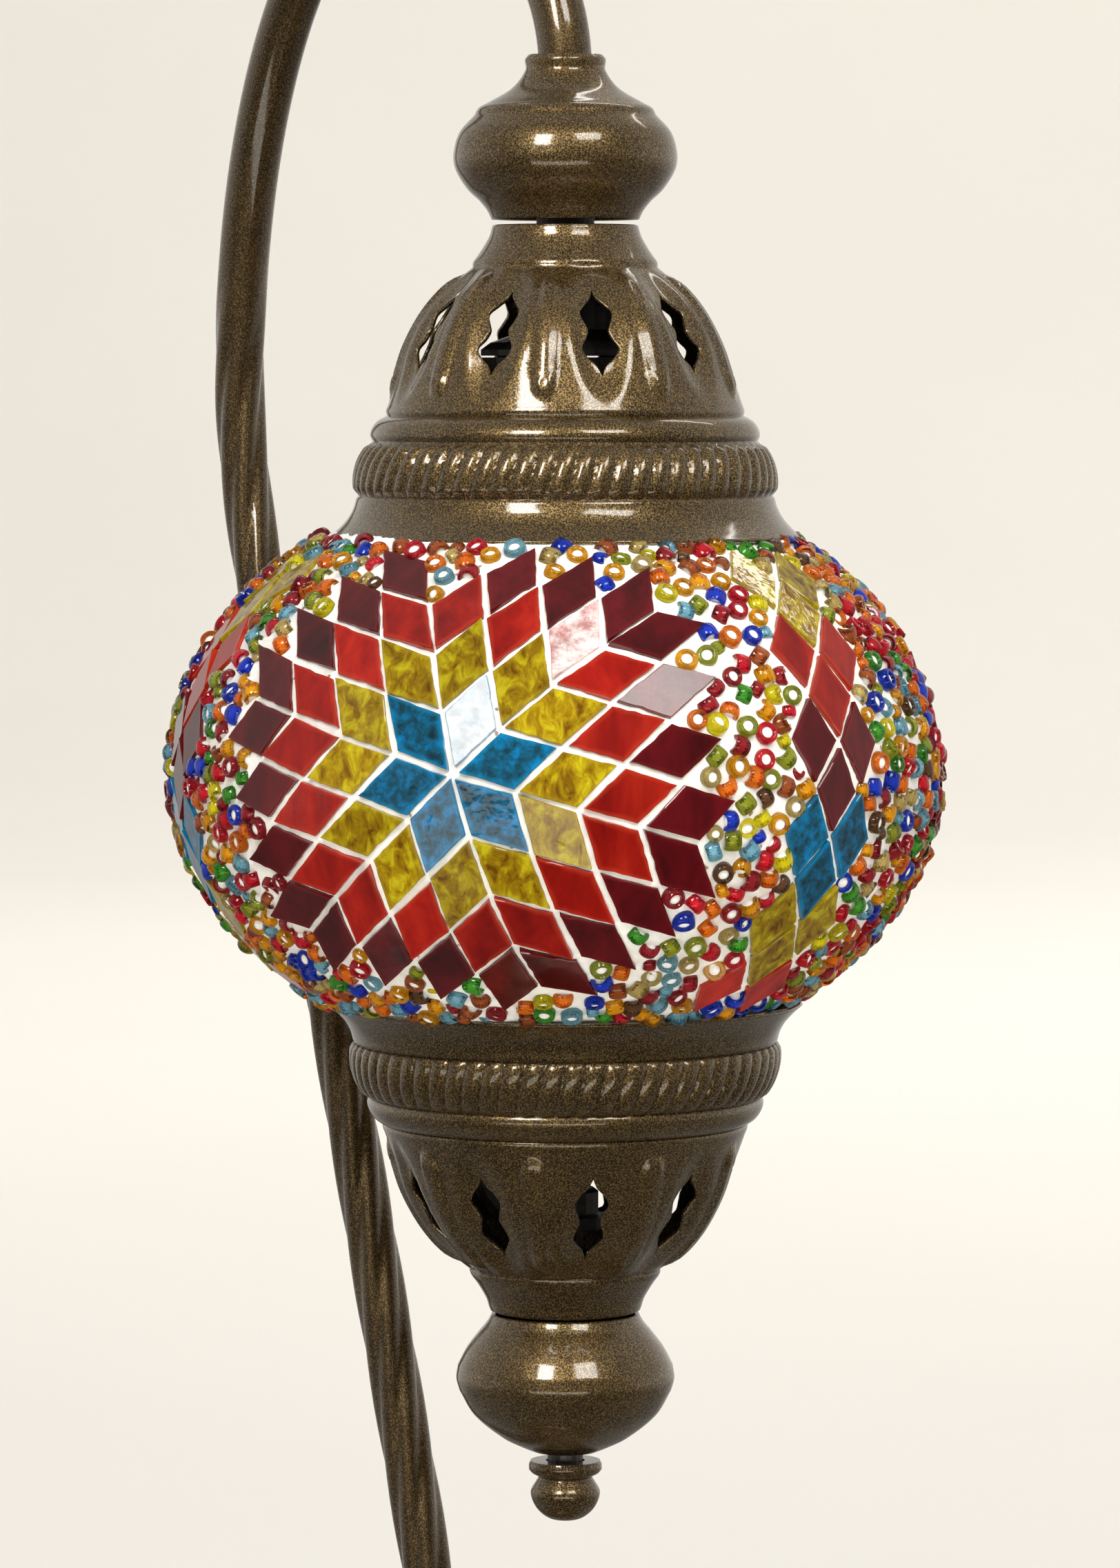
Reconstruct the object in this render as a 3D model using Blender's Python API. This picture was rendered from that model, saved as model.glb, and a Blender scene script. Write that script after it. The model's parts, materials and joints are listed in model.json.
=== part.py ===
"""Mosaic glass table lamp: a globe between two pierced caps, hung from a swan-neck arm on a round base.

Sizes are in millimetres and become metres when a mesh is made. +Z is up. The origin is the middle of
the base's underside, and the arm lies in the XZ plane, on the -X side of the globe's upright axis.
"""

import math

import bmesh
import bpy
import numpy as np
from mathutils import Matrix, Vector
from mathutils.geometry import interpolate_bezier

MM = 0.001
GAP = 0.3  # left between pieces that touch

# Sides of round pieces, from the broadest to the smallest
BROAD = 36
LARGE = 32
MIDDLE = 24
SLIM = 20
SMALL = 16
TINY = 12

# Driving dimensions
GLOBE_RADIUS = 65.0  # over the tiles, at the equator
GLOBE_HALF_HEIGHT = 49.5  # the same surface's upright half axis
RIM_OFFSET = 38.5  # each cap's rim, above or below the equator
EQUATOR_Z = 255.0
GLOBE_X = 28.0  # the globe's axis, in front of the base's axis
SHEET = 1.0  # stamped metal
ARM_RADIUS = 4.5
ARM_BORE = 3.5
ARM_CLEARANCE = ARM_RADIUS + 0.4  # radius of the holes that the arm goes through
NIPPLE_RADIUS = 4.9
STUD_RADIUS = 3.0
BULB_RADIUS = 22.5

# Layers of the globe, measured in from the outside
GROUT_DEPTH = 1.9
GROUT_THICKNESS = 1.0
GLASS_DEPTH = GROUT_DEPTH + GROUT_THICKNESS + GAP
GLASS_THICKNESS = 1.2
GLASS_EDGE = 39.5  # the glass ends this far from the equator, just under the caps

# Glass inlays: cut tiles laid edge to edge, each figure as one sheet
INLAY_LIFT = 1.2  # underside above the grout, so that a flat tile clears the curve
INLAY_THICKNESS = 0.7
STAR_PITCH = 10.0  # a tile's side and its grout line
STAR_RINGS = 4
STAR_LONGITUDE = -53.5
STAR_PLACES = [0.0, 136.0, 243.0]  # degrees on from the first star
BAND_PLACES = [61.0, 189.5, 300.0]
STAR_ARC = 0.5
STAR_TURN = 12.0
BAND_COLUMN = 5.0
BAND_PITCH = 15.6
BAND_ROWS = 5
BAND_LOW_ARC = -31.4
MOSAIC_REACH = 44.5  # no tile goes further from the equator than this arc, where the caps begin

# Caps: (height above the rim, outer radius)
CAP_HEIGHT = 53.5
CAP_PROFILE = [
    (0.0, 40.0), (3.5, 37.7), (7.2, 35.5), (10.9, 35.9), (14.2, 34.9), (16.5, 33.2), (18.8, 32.7),
    (21.1, 30.4), (30.0, 28.0), (38.0, 24.2), (43.4, 19.2), (45.3, 16.6), (48.1, 14.9), (CAP_HEIGHT, 12.4),
]
HOLE_COUNT = 9
HOLE_MIDDLE = 35.8  # height above the rim
HOLE_OUTLINE = [(0.0, 7.0), (2.9, 3.4), (1.8, 0.6), (3.1, -2.8), (0.0, -6.6)]

# Base: (height, outer radius)
BASE_PROFILE = [
    (1.0, 68.0), (6.5, 66.2), (10.0, 62.6), (13.5, 63.4), (18.0, 60.2), (22.0, 56.8), (24.6, 52.8),
    (32.0, 44.5), (38.8, 31.0), (43.0, 17.0), (46.2, 14.8), (50.8, 12.6),
]
BASE_TOP = BASE_PROFILE[-1][0]
GROMMET_Z = 13.2
FELT_THICKNESS = 1.2
WEIGHT_TOP = 11.5

# The arm's knots: reach behind the globe's axis, height, lean from upright, and the handles on each side
ARM_KNOTS = [
    (28.0, 36.0, 0.0, 0.0, 8.0), (28.0, 60.0, 0.0, 8.0, 10.0), (32.1, 88.6, 16.2, 10.0, 60.0),
    (88.6, 284.0, 16.2, 60.0, 12.0), (94.9, 320.5, 0.0, 12.0, 48.0),
    (47.5, 408.0, -90.0, 26.0, 26.0), (0.0, 372.0, -180.0, 20.0, 4.0), (0.0, 361.2, -180.0, 4.0, 0.0),
]
ARM_STEPS = [1, 3, 2, 4, 8, 8, 1]
ARM_TIP_Z = ARM_KNOTS[-1][1]

# Places along the globe's axis
UPPER_RIM_Z = EQUATOR_Z + RIM_OFFSET
LOWER_RIM_Z = EQUATOR_Z - RIM_OFFSET
UPPER_WAIST_Z = UPPER_RIM_Z + CAP_HEIGHT
LOWER_WAIST_Z = LOWER_RIM_Z - CAP_HEIGHT
HARP_TOP_Z = UPPER_WAIST_Z - 7.1
HOLDER_TOP_Z = UPPER_WAIST_Z - 9.7
HOLDER_SEAM_Z = UPPER_RIM_Z + 31.0
HOLDER_MOUTH_Z = HOLDER_SEAM_Z - 34.0
HARP_EYE_Z = LOWER_RIM_Z - 37.0
STUD_END_Z = LOWER_WAIST_Z - 29.0
FINIAL_PLATE_Z = LOWER_WAIST_Z - 24.0

MATERIALS = {  # colour, roughness, metallic, transmission
    "antique_bronze": ((0.13, 0.10, 0.055), 0.35, 0.85, 0.0),
    "steel": ((0.55, 0.55, 0.54), 0.4, 1.0, 0.0),
    "cast_iron": ((0.08, 0.08, 0.085), 0.75, 0.6, 0.0),
    "felt": ((0.03, 0.06, 0.04), 0.95, 0.0, 0.0),
    "rubber": ((0.03, 0.03, 0.03), 0.8, 0.0, 0.0),
    "black_plastic": ((0.02, 0.02, 0.02), 0.45, 0.0, 0.0),
    "white_plastic": ((0.8, 0.79, 0.75), 0.5, 0.0, 0.0),
    "brass": ((0.75, 0.55, 0.25), 0.3, 1.0, 0.0),
    "clear_glass": ((0.95, 0.95, 0.93), 0.08, 0.0, 0.9),
    "opal_glass": ((0.95, 0.94, 0.9), 0.3, 0.0, 0.4),
    "grout": ((0.88, 0.86, 0.8), 0.8, 0.0, 0.0),
    "blue_glass": ((0.02, 0.22, 0.42), 0.1, 0.0, 0.3),
    "red_glass": ((0.6, 0.05, 0.03), 0.1, 0.0, 0.3),
}


def clear_scene():
    """Removes whatever the new scene starts with."""
    for obj in list(bpy.data.objects):
        bpy.data.objects.remove(obj)


def make_material(name):
    """The material of that name, made once."""
    colour, roughness, metallic, transmission = MATERIALS[name]
    material = bpy.data.materials.get(name) or bpy.data.materials.new(name)
    material.use_nodes = True
    shader = material.node_tree.nodes["Principled BSDF"]
    shader.inputs["Base Color"].default_value = (*colour, 1.0)
    shader.inputs["Roughness"].default_value = roughness
    shader.inputs["Metallic"].default_value = metallic
    shader.inputs["Transmission Weight"].default_value = transmission
    return material


def add_object(name, bm, material, place=(0.0, 0.0, 0.0), crease=35.0):
    """Makes the mesh an object in metres, with its origin at place."""
    bmesh.ops.recalc_face_normals(bm, faces=bm.faces)
    bm.transform(Matrix.Scale(MM, 4))
    mesh = bpy.data.meshes.new(name)
    bm.to_mesh(mesh)
    bm.free()
    mesh.shade_smooth()
    mesh.set_sharp_from_angle(angle=math.radians(crease))
    mesh.materials.append(make_material(material))
    obj = bpy.data.objects.new(name, mesh)
    obj.location = Vector(place) * MM
    bpy.context.scene.collection.objects.link(obj)
    return obj


def join_rings(bm, first, second):
    """Faces between two rings of the same count, or between a ring and a pole."""
    if len(first) == 1 and len(second) == 1:
        return
    count = max(len(first), len(second))
    for k in range(count):
        after = (k + 1) % count
        low = [first[k % len(first)], first[after % len(first)]]
        high = [second[after % len(second)], second[k % len(second)]]
        bm.faces.new(list(dict.fromkeys(low + high)))


def lathe(outline, segments):
    """A closed outline of (height, radius) turned about Z. A radius of 0 makes a pole."""
    bm = bmesh.new()
    rings = []
    for height, radius in outline:
        count = segments if radius > 0 else 1
        turns = [2 * math.pi * k / segments for k in range(count)]
        rings.append([bm.verts.new((radius * math.cos(t), radius * math.sin(t), height)) for t in turns])
    for first, second in zip(rings, rings[1:] + rings[:1]):
        join_rings(bm, first, second)
    return bm


def sheet_outline(outer, thickness):
    """The closed outline of a sheet whose outer face follows the points of outer, listed upward."""
    points = [Vector(p) for p in outer]
    inner = []
    for k, point in enumerate(points):
        before = points[max(k - 1, 0)]
        after = points[min(k + 1, len(points) - 1)]
        along = (after - before).normalized()
        inner.append(point - Vector((-along.y, along.x)) * thickness)
    return [tuple(p) for p in points] + [tuple(p) for p in reversed(inner)]


def turned(name, outline, material, axis_x=0.0, origin_z=0.0, segments=MIDDLE):
    """A turned piece given by absolute heights, with its origin on its own axis."""
    local = [(height - origin_z, radius) for height, radius in outline]
    return add_object(name, lathe(local, segments), material, (axis_x, 0.0, origin_z))


def ring_outline(low, high, inner, outer):
    """The outline of a plain ring, or of a disc if inner is 0."""
    return [(low, inner), (low, outer), (high, outer), (high, inner)]


def combine(obj, other, operation):
    """A boolean of one object with another, which is then hidden."""
    other.hide_render = True
    other.display_type = "WIRE"
    modifier = obj.modifiers.new(other.name, "BOOLEAN")
    modifier.object = other
    modifier.operation = operation
    modifier.solver = "EXACT"


def tube(path, side, outer, sides, inner=None):
    """A round tube along a flat path, whose plane is at right angles to side. Open at its ends if hollow."""
    bm = bmesh.new()
    walls = []
    for radius in (outer, inner):
        if radius is None:
            continue
        rings = []
        for k, point in enumerate(path):
            along = (path[min(k + 1, len(path) - 1)] - path[max(k - 1, 0)]).normalized()
            across = along.cross(side)
            ring = []
            for n in range(sides):
                turn = 2 * math.pi * n / sides
                ring.append(bm.verts.new(point + radius * (math.cos(turn) * across + math.sin(turn) * side)))
            rings.append(ring)
        for first, second in zip(rings, rings[1:]):
            join_rings(bm, first, second)
        walls.append(rings)
    for end in (0, -1):
        if inner is None:
            bm.faces.new(walls[0][end])
        else:
            join_rings(bm, walls[0][end], walls[1][end])
    return bm


def arm_path():
    """The arm's centreline from its foot to its tip."""
    path = []
    for start, finish, steps in zip(ARM_KNOTS, ARM_KNOTS[1:], ARM_STEPS):
        places = []
        for reach, height, lean, before, after in (start, finish):
            angle = math.radians(lean)
            place = Vector((GLOBE_X - reach, 0, height))
            along = Vector((-math.sin(angle), 0, math.cos(angle)))
            places.append((place - along * before, place, place + along * after))
        (_, first, leaving), (arriving, last, _) = places
        stretch = interpolate_bezier(first, leaving, arriving, last, steps + 1)
        path += stretch[1 if path else 0:]
    return path


def bar(bm, low, high):
    """Adds a straight block between two corners."""
    middle = (Vector(low) + Vector(high)) / 2
    size = Vector(high) - Vector(low)
    bmesh.ops.create_cube(bm, size=1.0, matrix=Matrix.Translation(middle) @ Matrix.Diagonal((*size, 1.0)))


def hex_nut(name, low, high, corner, bore, material, axis_x):
    """A six-sided nut with a round bore. corner is the radius at its corners."""
    outline = ring_outline(0, high - low, bore, corner)
    nut = add_object(name, lathe(outline, MIDDLE), material, (axis_x, 0, low))
    sides = 6
    flat = corner * math.cos(math.pi / sides)
    for vertex in nut.data.vertices:
        radius = math.hypot(vertex.co.x, vertex.co.y)
        if radius > (bore + 1.0) * MM:
            turn = math.atan2(vertex.co.y, vertex.co.x) % (2 * math.pi / sides) - math.pi / sides
            reach = flat * MM / math.cos(turn)
            vertex.co.x *= reach / radius
            vertex.co.y *= reach / radius
    nut.data.set_sharp_from_angle(angle=math.radians(20))
    return nut


# The base


def base_shell():
    """The stamped cover, with a hole in its back for the grommet."""
    outer = BASE_PROFILE + [(BASE_TOP, ARM_CLEARANCE)]
    shell = turned("base_shell", sheet_outline(outer, SHEET), "antique_bronze", segments=LARGE)
    hole = lathe(ring_outline(0, 12, 0, 3.6), SMALL)
    cutter = add_object("grommet_hole", hole, "rubber", (-70, 0, GROMMET_Z))
    cutter.rotation_euler = (0, math.pi / 2, 0)
    combine(shell, cutter, "DIFFERENCE")


def base_filling():
    """The felt pad, and the iron disc that keeps the lamp from tipping."""
    turned("base_felt", ring_outline(0, FELT_THICKNESS, 0, 64), "felt", segments=BROAD)
    low = FELT_THICKNESS + GAP
    weight = [(low, 0), (low, 56), (WEIGHT_TOP - 1.5, 56), (WEIGHT_TOP, 54.5), (WEIGHT_TOP, 0)]
    turned("base_weight", weight, "cast_iron", segments=BROAD)


def grommet():
    """The rubber bush in the back wall. Its heights run outward, from inside the wall."""
    outline = [
        (0.0, 2.5), (0.0, 3.9), (1.6, 3.9), (1.6, 3.3), (7.0, 3.3), (7.0, 4.6), (8.4, 4.0), (8.4, 2.5),
    ]
    bush = add_object("cord_grommet", lathe(outline, SMALL), "rubber", (-57.6, 0, GROMMET_Z))
    bush.rotation_euler = (0, -math.pi / 2, 0)


def terminal():
    """The two-way block on the weight, where the lead in the arm ends."""
    low = Vector((-34.0, -8.0, WEIGHT_TOP + GAP))
    high = Vector((-18.0, 8.0, low.z + 10.0))
    block = bmesh.new()
    bar(block, low, high)
    add_object("terminal_block", block, "white_plastic")
    places = [(x, y) for x in (-30.0, -22.0) for y in (-4.0, 4.0)]
    for number, (x, y) in enumerate(places, start=1):
        head = ring_outline(0, 1.0, 0, 1.7)
        add_object(f"terminal_screw_{number}", lathe(head, TINY), "steel", (x, y, high.z + GAP))


def arm_foot():
    """The collar on the base, and the washer and nut that hold the arm from inside."""
    bore = ARM_CLEARANCE
    low = BASE_TOP + GAP
    collar = [
        (low, bore), (low, 11.6), (low + 1.9, 12.0), (low + 3.3, 9.2), (low + 5.4, 8.0), (low + 7.5, 8.0),
        (low + 8.5, 6.6), (low + 8.5, bore),
    ]
    turned("arm_foot_collar", collar, "antique_bronze")
    washer_low = BASE_TOP - SHEET - 1.6
    turned("arm_foot_washer", ring_outline(washer_low, washer_low + 1.2, bore, 11.0), "steel")
    hex_nut("arm_foot_nut", washer_low - 6.2, washer_low - GAP, 9.2, bore, "steel", 0.0)


# The arm


def arm():
    """The hollow arm, and the lead that runs through it from the terminal block to the holder."""
    side = Vector((0, 1, 0))
    path = arm_path()
    add_object("swan_neck_arm", tube(path, side, ARM_RADIUS, 10, ARM_BORE), "antique_bronze")
    block_end = Vector((-17.4, 0, 16.6))
    below_arm = Vector((0, 0, 32))
    bend = (block_end + Vector((13.4, 0, 0)), below_arm - Vector((0, 0, 14)))
    foot = interpolate_bezier(block_end, *bend, below_arm, 6)
    holder_end = Vector((GLOBE_X, 0, HOLDER_SEAM_Z + 1.0))
    add_object("arm_lead", tube(foot + path + [holder_end], side, 2.2, 6), "black_plastic")


def hanger():
    """What joins the arm's tip to the upper cap."""
    foot = UPPER_WAIST_Z + GAP
    bell = [
        (foot, 12.4), (foot + 3.2, 14.5), (foot + 7, 17.6), (foot + 10.8, 18.8), (foot + 14.5, 17.8),
        (foot + 19, 13.6), (foot + 22.5, 8.6), (foot + 25, 6.6), (foot + 27.5, 6.6), (foot + 27.5, 4.9),
    ]
    turned("hanger_bell", sheet_outline(bell, SHEET), "antique_bronze", GLOBE_X, segments=SLIM)
    bore = NIPPLE_RADIUS + GAP
    arm_bore = ARM_RADIUS + GAP
    low = foot + 3.2
    high = foot + 20.7
    shoulder = ARM_TIP_Z - GAP
    coupler = [(low, bore), (low, 8.5), (high, 8.0), (high, arm_bore), (shoulder, arm_bore), (shoulder, bore)]
    turned("arm_tip_coupler", coupler, "steel", GLOBE_X)
    nipple = ring_outline(HOLDER_TOP_Z - 4, shoulder - 0.2, 3.6, NIPPLE_RADIUS)
    turned("hanger_nipple", nipple, "steel", GLOBE_X)
    washer_low = UPPER_WAIST_Z - SHEET - 1.3
    turned("hanger_washer", ring_outline(washer_low, washer_low + 1.0, bore, 9.8), "steel", GLOBE_X)
    hex_nut("hanger_nut", HARP_TOP_Z + GAP, washer_low - GAP, 9.0, bore, "steel", GLOBE_X)


# The caps


def hole_cutters(name, direction):
    """Nine two-lobed prisms that point out of the dome, as one cutter. direction is the cap's."""
    bm = bmesh.new()
    half = HOLE_OUTLINE + [(-x, z) for x, z in reversed(HOLE_OUTLINE[1:-1])]
    for k in range(HOLE_COUNT):
        turn = Matrix.Rotation(2 * math.pi * k / HOLE_COUNT, 4, "Z")
        near = [bm.verts.new(turn @ Vector((12.0, x, direction * (HOLE_MIDDLE + z)))) for x, z in half]
        far = [bm.verts.new(turn @ Vector((36.0, x, direction * (HOLE_MIDDLE + z)))) for x, z in half]
        join_rings(bm, near, far)
        bm.faces.new(near)
        bm.faces.new(far)
    return add_object(name, bm, "antique_bronze")


def cap(name, rim_z, direction, bore):
    """A stamped cap. direction is 1 if it narrows upward and -1 if it narrows downward."""
    outline = sheet_outline(CAP_PROFILE + [(CAP_HEIGHT, bore)], SHEET)
    local = [(height * direction, radius) for height, radius in outline]
    shell = add_object(name, lathe(local, LARGE), "antique_bronze", (GLOBE_X, 0, rim_z))
    cutter = hole_cutters(name + "_holes", direction)
    cutter.location = shell.location
    combine(shell, cutter, "DIFFERENCE")


# Inside the lamp


def harp():
    """The wire frame round the bulb, with an eye at each end."""
    side = Vector((1, 0, 0))
    route = [  # (reach from the axis, height)
        (9.0, HARP_TOP_Z - 1.2), (13.2, 338.0), (16.9, 334.0), (19.8, 328.0), (23.4, 312.0), (25.0, 296.0),
        (25.4, 280.0), (25.4, 232.0), (25.0, 214.0), (22.4, 198.0), (17.2, 184.5), (12.5, 179.6),
        (7.6, HARP_EYE_Z - 1.0),
    ]
    wire = 1.5
    bm = bmesh.new()
    for sign in (1, -1):
        leg = tube([Vector((0, sign * y, z)) for y, z in route], side, wire, 6)
        mesh = bpy.data.meshes.new("leg")
        leg.to_mesh(mesh)
        leg.free()
        bm.from_mesh(mesh)
        bpy.data.meshes.remove(mesh)
    legs = add_object("harp", bm, "steel", (GLOBE_X, 0, 0))
    eyes = [
        ("harp_eye_upper", ring_outline(HARP_TOP_Z - 2.4, HARP_TOP_Z, NIPPLE_RADIUS + GAP, 9.6)),
        ("harp_eye_lower", ring_outline(HARP_EYE_Z - 2.0, HARP_EYE_Z, STUD_RADIUS + GAP, 8.4)),
    ]
    for name, outline in eyes:
        eye = turned(name, outline, "steel", GLOBE_X, segments=SMALL)
        combine(legs, eye, "UNION")


def stud():
    """The bolt that hangs from the harp's lower eye, and takes the finial."""
    head_low = HARP_EYE_Z + GAP
    outline = [
        (STUD_END_Z, 0), (STUD_END_Z, STUD_RADIUS), (head_low, STUD_RADIUS), (head_low, 5.6),
        (head_low + 3.6, 5.6), (head_low + 4.2, 4.8), (head_low + 4.2, 0),
    ]
    turned("finial_stud", outline, "steel", GLOBE_X, segments=SLIM)


def holder():
    """The lamp holder: a shallow dome with a neck for the nipple, a body, a threaded sleeve and a contact."""
    top = HOLDER_TOP_Z
    seam = HOLDER_SEAM_Z
    bore = NIPPLE_RADIUS + GAP
    dome = [
        (top, bore), (top, 8.0), (seam + 4.4, 8.0), (seam + 3.4, 9.2), (seam + 2.2, 12.6), (seam + 1.0, 14.2),
        (seam, 14.2), (seam, 12.4), (seam + 1.4, 10.8), (seam + 2.6, 7.4), (seam + 2.9, bore),
    ]
    turned("holder_dome", dome, "black_plastic", GLOBE_X, segments=SLIM)
    high = seam - GAP
    mouth = HOLDER_MOUTH_Z
    body = [
        (high, 3.0), (high, 14.6), (high - 8, 14.6), (high - 10, 13.2), (mouth, 13.0), (mouth, 8.5),
        (high - 6, 8.5), (high - 6, 3.0),
    ]
    turned("holder_body", body, "black_plastic", GLOBE_X, segments=SLIM)
    turned("holder_sleeve", ring_outline(mouth + 4, high - 7.5, 7.4, 8.1), "brass", GLOBE_X)
    contact = ring_outline(high - 7.6, high - 6.4, 0, 3.4)
    turned("holder_contact", contact, "brass", GLOBE_X, segments=SMALL)


def bulb():
    """A globe bulb with a small threaded cap, hung cap upward."""
    neck = HOLDER_MOUTH_Z + 1.2
    centre = EQUATOR_Z
    round_part = []
    for degrees in (48, 24, 0, -24, -48, -70):
        angle = math.radians(degrees)
        round_part.append((centre + BULB_RADIUS * math.sin(angle), BULB_RADIUS * math.cos(angle)))
    outside = [(neck, 6.3), (neck - 6, 7.4), (neck - 12, 10.8)] + round_part
    wall = 0.9
    inside = [(z + wall * (centre > z), r - wall) for z, r in outside]
    outline = outside + [(centre - BULB_RADIUS, 0), (centre - BULB_RADIUS + wall, 0)] + inside[::-1]
    turned("bulb_glass", outline, "opal_glass", GLOBE_X, centre, SLIM)
    low = neck + GAP
    high = HOLDER_SEAM_Z - 12.5
    screw = [(low, 5.4), (low, 6.9), (high - 3, 6.9), (high, 4.4), (high, 3.6), (high - 3.4, 5.4)]
    turned("bulb_cap", screw, "steel", GLOBE_X, centre, SLIM)
    insulator = [(high + GAP, 0), (high + GAP, 4.2), (high + 2.2, 2.8), (high + 2.2, 0)]
    turned("bulb_insulator", insulator, "black_plastic", GLOBE_X, centre, SMALL)
    contact = [(high + 2.5, 0), (high + 2.5, 2.2), (high + 3.6, 1.6), (high + 3.6, 0)]
    turned("bulb_contact", contact, "brass", GLOBE_X, centre, TINY)


# The globe


def globe_layer(name, depth, thickness, material):
    """A barrel-shaped layer, open at both ends."""
    walls = []
    for inset in (depth, depth + thickness):
        half = GLOBE_HALF_HEIGHT - inset
        limit = math.asin(GLASS_EDGE / half)
        turns = np.linspace(-limit, limit, 9)
        walls.append([(half * math.sin(t), (GLOBE_RADIUS - inset) * math.cos(t)) for t in turns])
    outline = walls[0] + walls[1][::-1]
    add_object(name, lathe(outline, LARGE), material, (GLOBE_X, 0, EQUATOR_Z))


class Surface:
    """The grout's outer surface, addressed by longitude and by arc length up from the equator."""

    def __init__(self):
        self.radius = GLOBE_RADIUS - GROUT_DEPTH
        self.half = GLOBE_HALF_HEIGHT - GROUT_DEPTH
        self.turns = np.linspace(-1.3, 1.3, 521)
        speed = np.hypot(self.radius * np.sin(self.turns), self.half * np.cos(self.turns))
        arcs = np.concatenate([[0.0], np.cumsum((speed[1:] + speed[:-1]) / 2 * np.diff(self.turns))])
        self.arcs = arcs - arcs[len(arcs) // 2]

    def point(self, longitude, arc, along=0.0):
        """(point, normal) at that arc, moved along the parallel by an arc length."""
        turn = float(np.interp(arc, self.arcs, self.turns))
        ring = self.radius * math.cos(turn)
        angle = math.radians(longitude) + along / ring
        point = Vector((ring * math.cos(angle), ring * math.sin(angle), self.half * math.sin(turn)))
        normal = Vector((point.x / self.radius**2, point.y / self.radius**2, point.z / self.half**2))
        return point, normal.normalized()


def inlay(name, cells, surface, longitude, material):
    """One sheet over the surface. Each cell is four flat corners (along, arc) that neighbours share."""
    bm = bmesh.new()
    layers = {}
    for lift in (INLAY_LIFT, INLAY_LIFT + INLAY_THICKNESS):
        for corner in (c for cell in cells for c in cell):
            key = (lift, *corner)
            if key not in layers:
                point, normal = surface.point(longitude, corner[1], corner[0])
                layers[key] = bm.verts.new(point + normal * lift)
        for cell in cells:
            bm.faces.new([layers[(lift, *corner)] for corner in cell])
    sides = [(cell[k], cell[(k + 1) % 4]) for cell in cells for k in range(4)]
    rim = [side for side in sides if side[::-1] not in sides]
    for start, finish in rim:
        low = [layers[(INLAY_LIFT, *corner)] for corner in (start, finish)]
        high = [layers[(INLAY_LIFT + INLAY_THICKNESS, *corner)] for corner in (finish, start)]
        bm.faces.new(low + high)
    add_object(name, bm, material, (GLOBE_X, 0, EQUATOR_Z), crease=20)


def rounded(corners):
    """Corners to a thousandth, so that neighbours share theirs."""
    return [(round(x, 3), round(y, 3)) for x, y in corners]


def star_cells():
    """Rings of 6, 12, 18 and 24 rhombi round a centre."""
    cells = []
    middle = Vector((0, STAR_ARC))
    for wedge in range(6):
        left, right = [
            Vector((math.cos(angle), math.sin(angle))) * STAR_PITCH
            for angle in (math.radians(STAR_TURN + 60 * wedge + step) for step in (30, -30))
        ]
        for ring in range(STAR_RINGS):
            for k in range(ring + 1):
                low = middle + right * (ring - k) + left * k
                cells.append(rounded([low, low + right, low + right + left, low + left]))
    return cells


def band_cells():
    """An upright band three columns wide. The middle column sits half a tile lower than the outer two."""
    cells = []
    half = BAND_PITCH / 2
    for row in range(BAND_ROWS):
        for column in (-1, 0, 1):
            x = column * BAND_COLUMN
            y = BAND_LOW_ARC + BAND_PITCH * row + half * abs(column)
            if y + half < MOSAIC_REACH:
                corners = [(x, y - half), (x + BAND_COLUMN, y), (x, y + half), (x - BAND_COLUMN, y)]
                cells.append(rounded(corners))
    return cells


def mosaic():
    """Three stars round the globe, with a band between each and the next."""
    surface = Surface()
    for number, (star, band) in enumerate(zip(STAR_PLACES, BAND_PLACES), start=1):
        inlay(f"star_inlay_{number}", star_cells(), surface, STAR_LONGITUDE + star, "red_glass")
        inlay(f"band_inlay_{number}", band_cells(), surface, STAR_LONGITUDE + band, "blue_glass")


# Under the lower cap


def finial():
    """The cup under the lower cap, and the knob that screws on to the stud."""
    top = LOWER_WAIST_Z - GAP
    plate = FINIAL_PLATE_Z
    bore = STUD_RADIUS + GAP
    shell = [
        (plate, bore), (plate, 6.0), (plate + 2.5, 10.8), (plate + 6.5, 15.6), (plate + 11.5, 18.4),
        (top - 9, 18.2), (top - 6, 16.6), (top - 3.2, 14.5), (top, 12.4),
    ]
    turned("finial_shell", sheet_outline(shell, SHEET), "antique_bronze", GLOBE_X, top, SLIM)
    nut_top = plate - SHEET - 0.6
    tip = [
        (nut_top, bore), (nut_top, 6.2), (nut_top - 2, 6.2), (nut_top - 2.8, 4.6), (nut_top - 5.4, 5.9),
        (nut_top - 8, 5.2), (nut_top - 9.8, 2.8), (nut_top - 10.4, 0), (STUD_END_Z - 0.6, 0),
        (STUD_END_Z - 0.6, bore),
    ]
    turned("finial_nut", tip, "antique_bronze", GLOBE_X, top, SLIM)


def main():
    clear_scene()
    base_shell()
    base_filling()
    grommet()
    terminal()
    arm_foot()
    arm()
    hanger()
    cap("upper_cap", UPPER_RIM_Z, 1, NIPPLE_RADIUS + GAP)
    cap("lower_cap", LOWER_RIM_Z, -1, STUD_RADIUS + GAP)
    harp()
    stud()
    holder()
    bulb()
    globe_layer("glass_globe", GLASS_DEPTH, GLASS_THICKNESS, "clear_glass")
    globe_layer("grout_layer", GROUT_DEPTH, GROUT_THICKNESS, "grout")
    mosaic()
    finial()


main()
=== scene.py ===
"""The looks of the mosaic glass table lamp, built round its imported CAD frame.

Sizes are in millimetres and become metres when a mesh is made. Places come from the frame's own boxes.
"""

import json
import math
import random

import bmesh
import bpy
import numpy as np
from mathutils import Matrix, Vector, kdtree, noise


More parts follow.
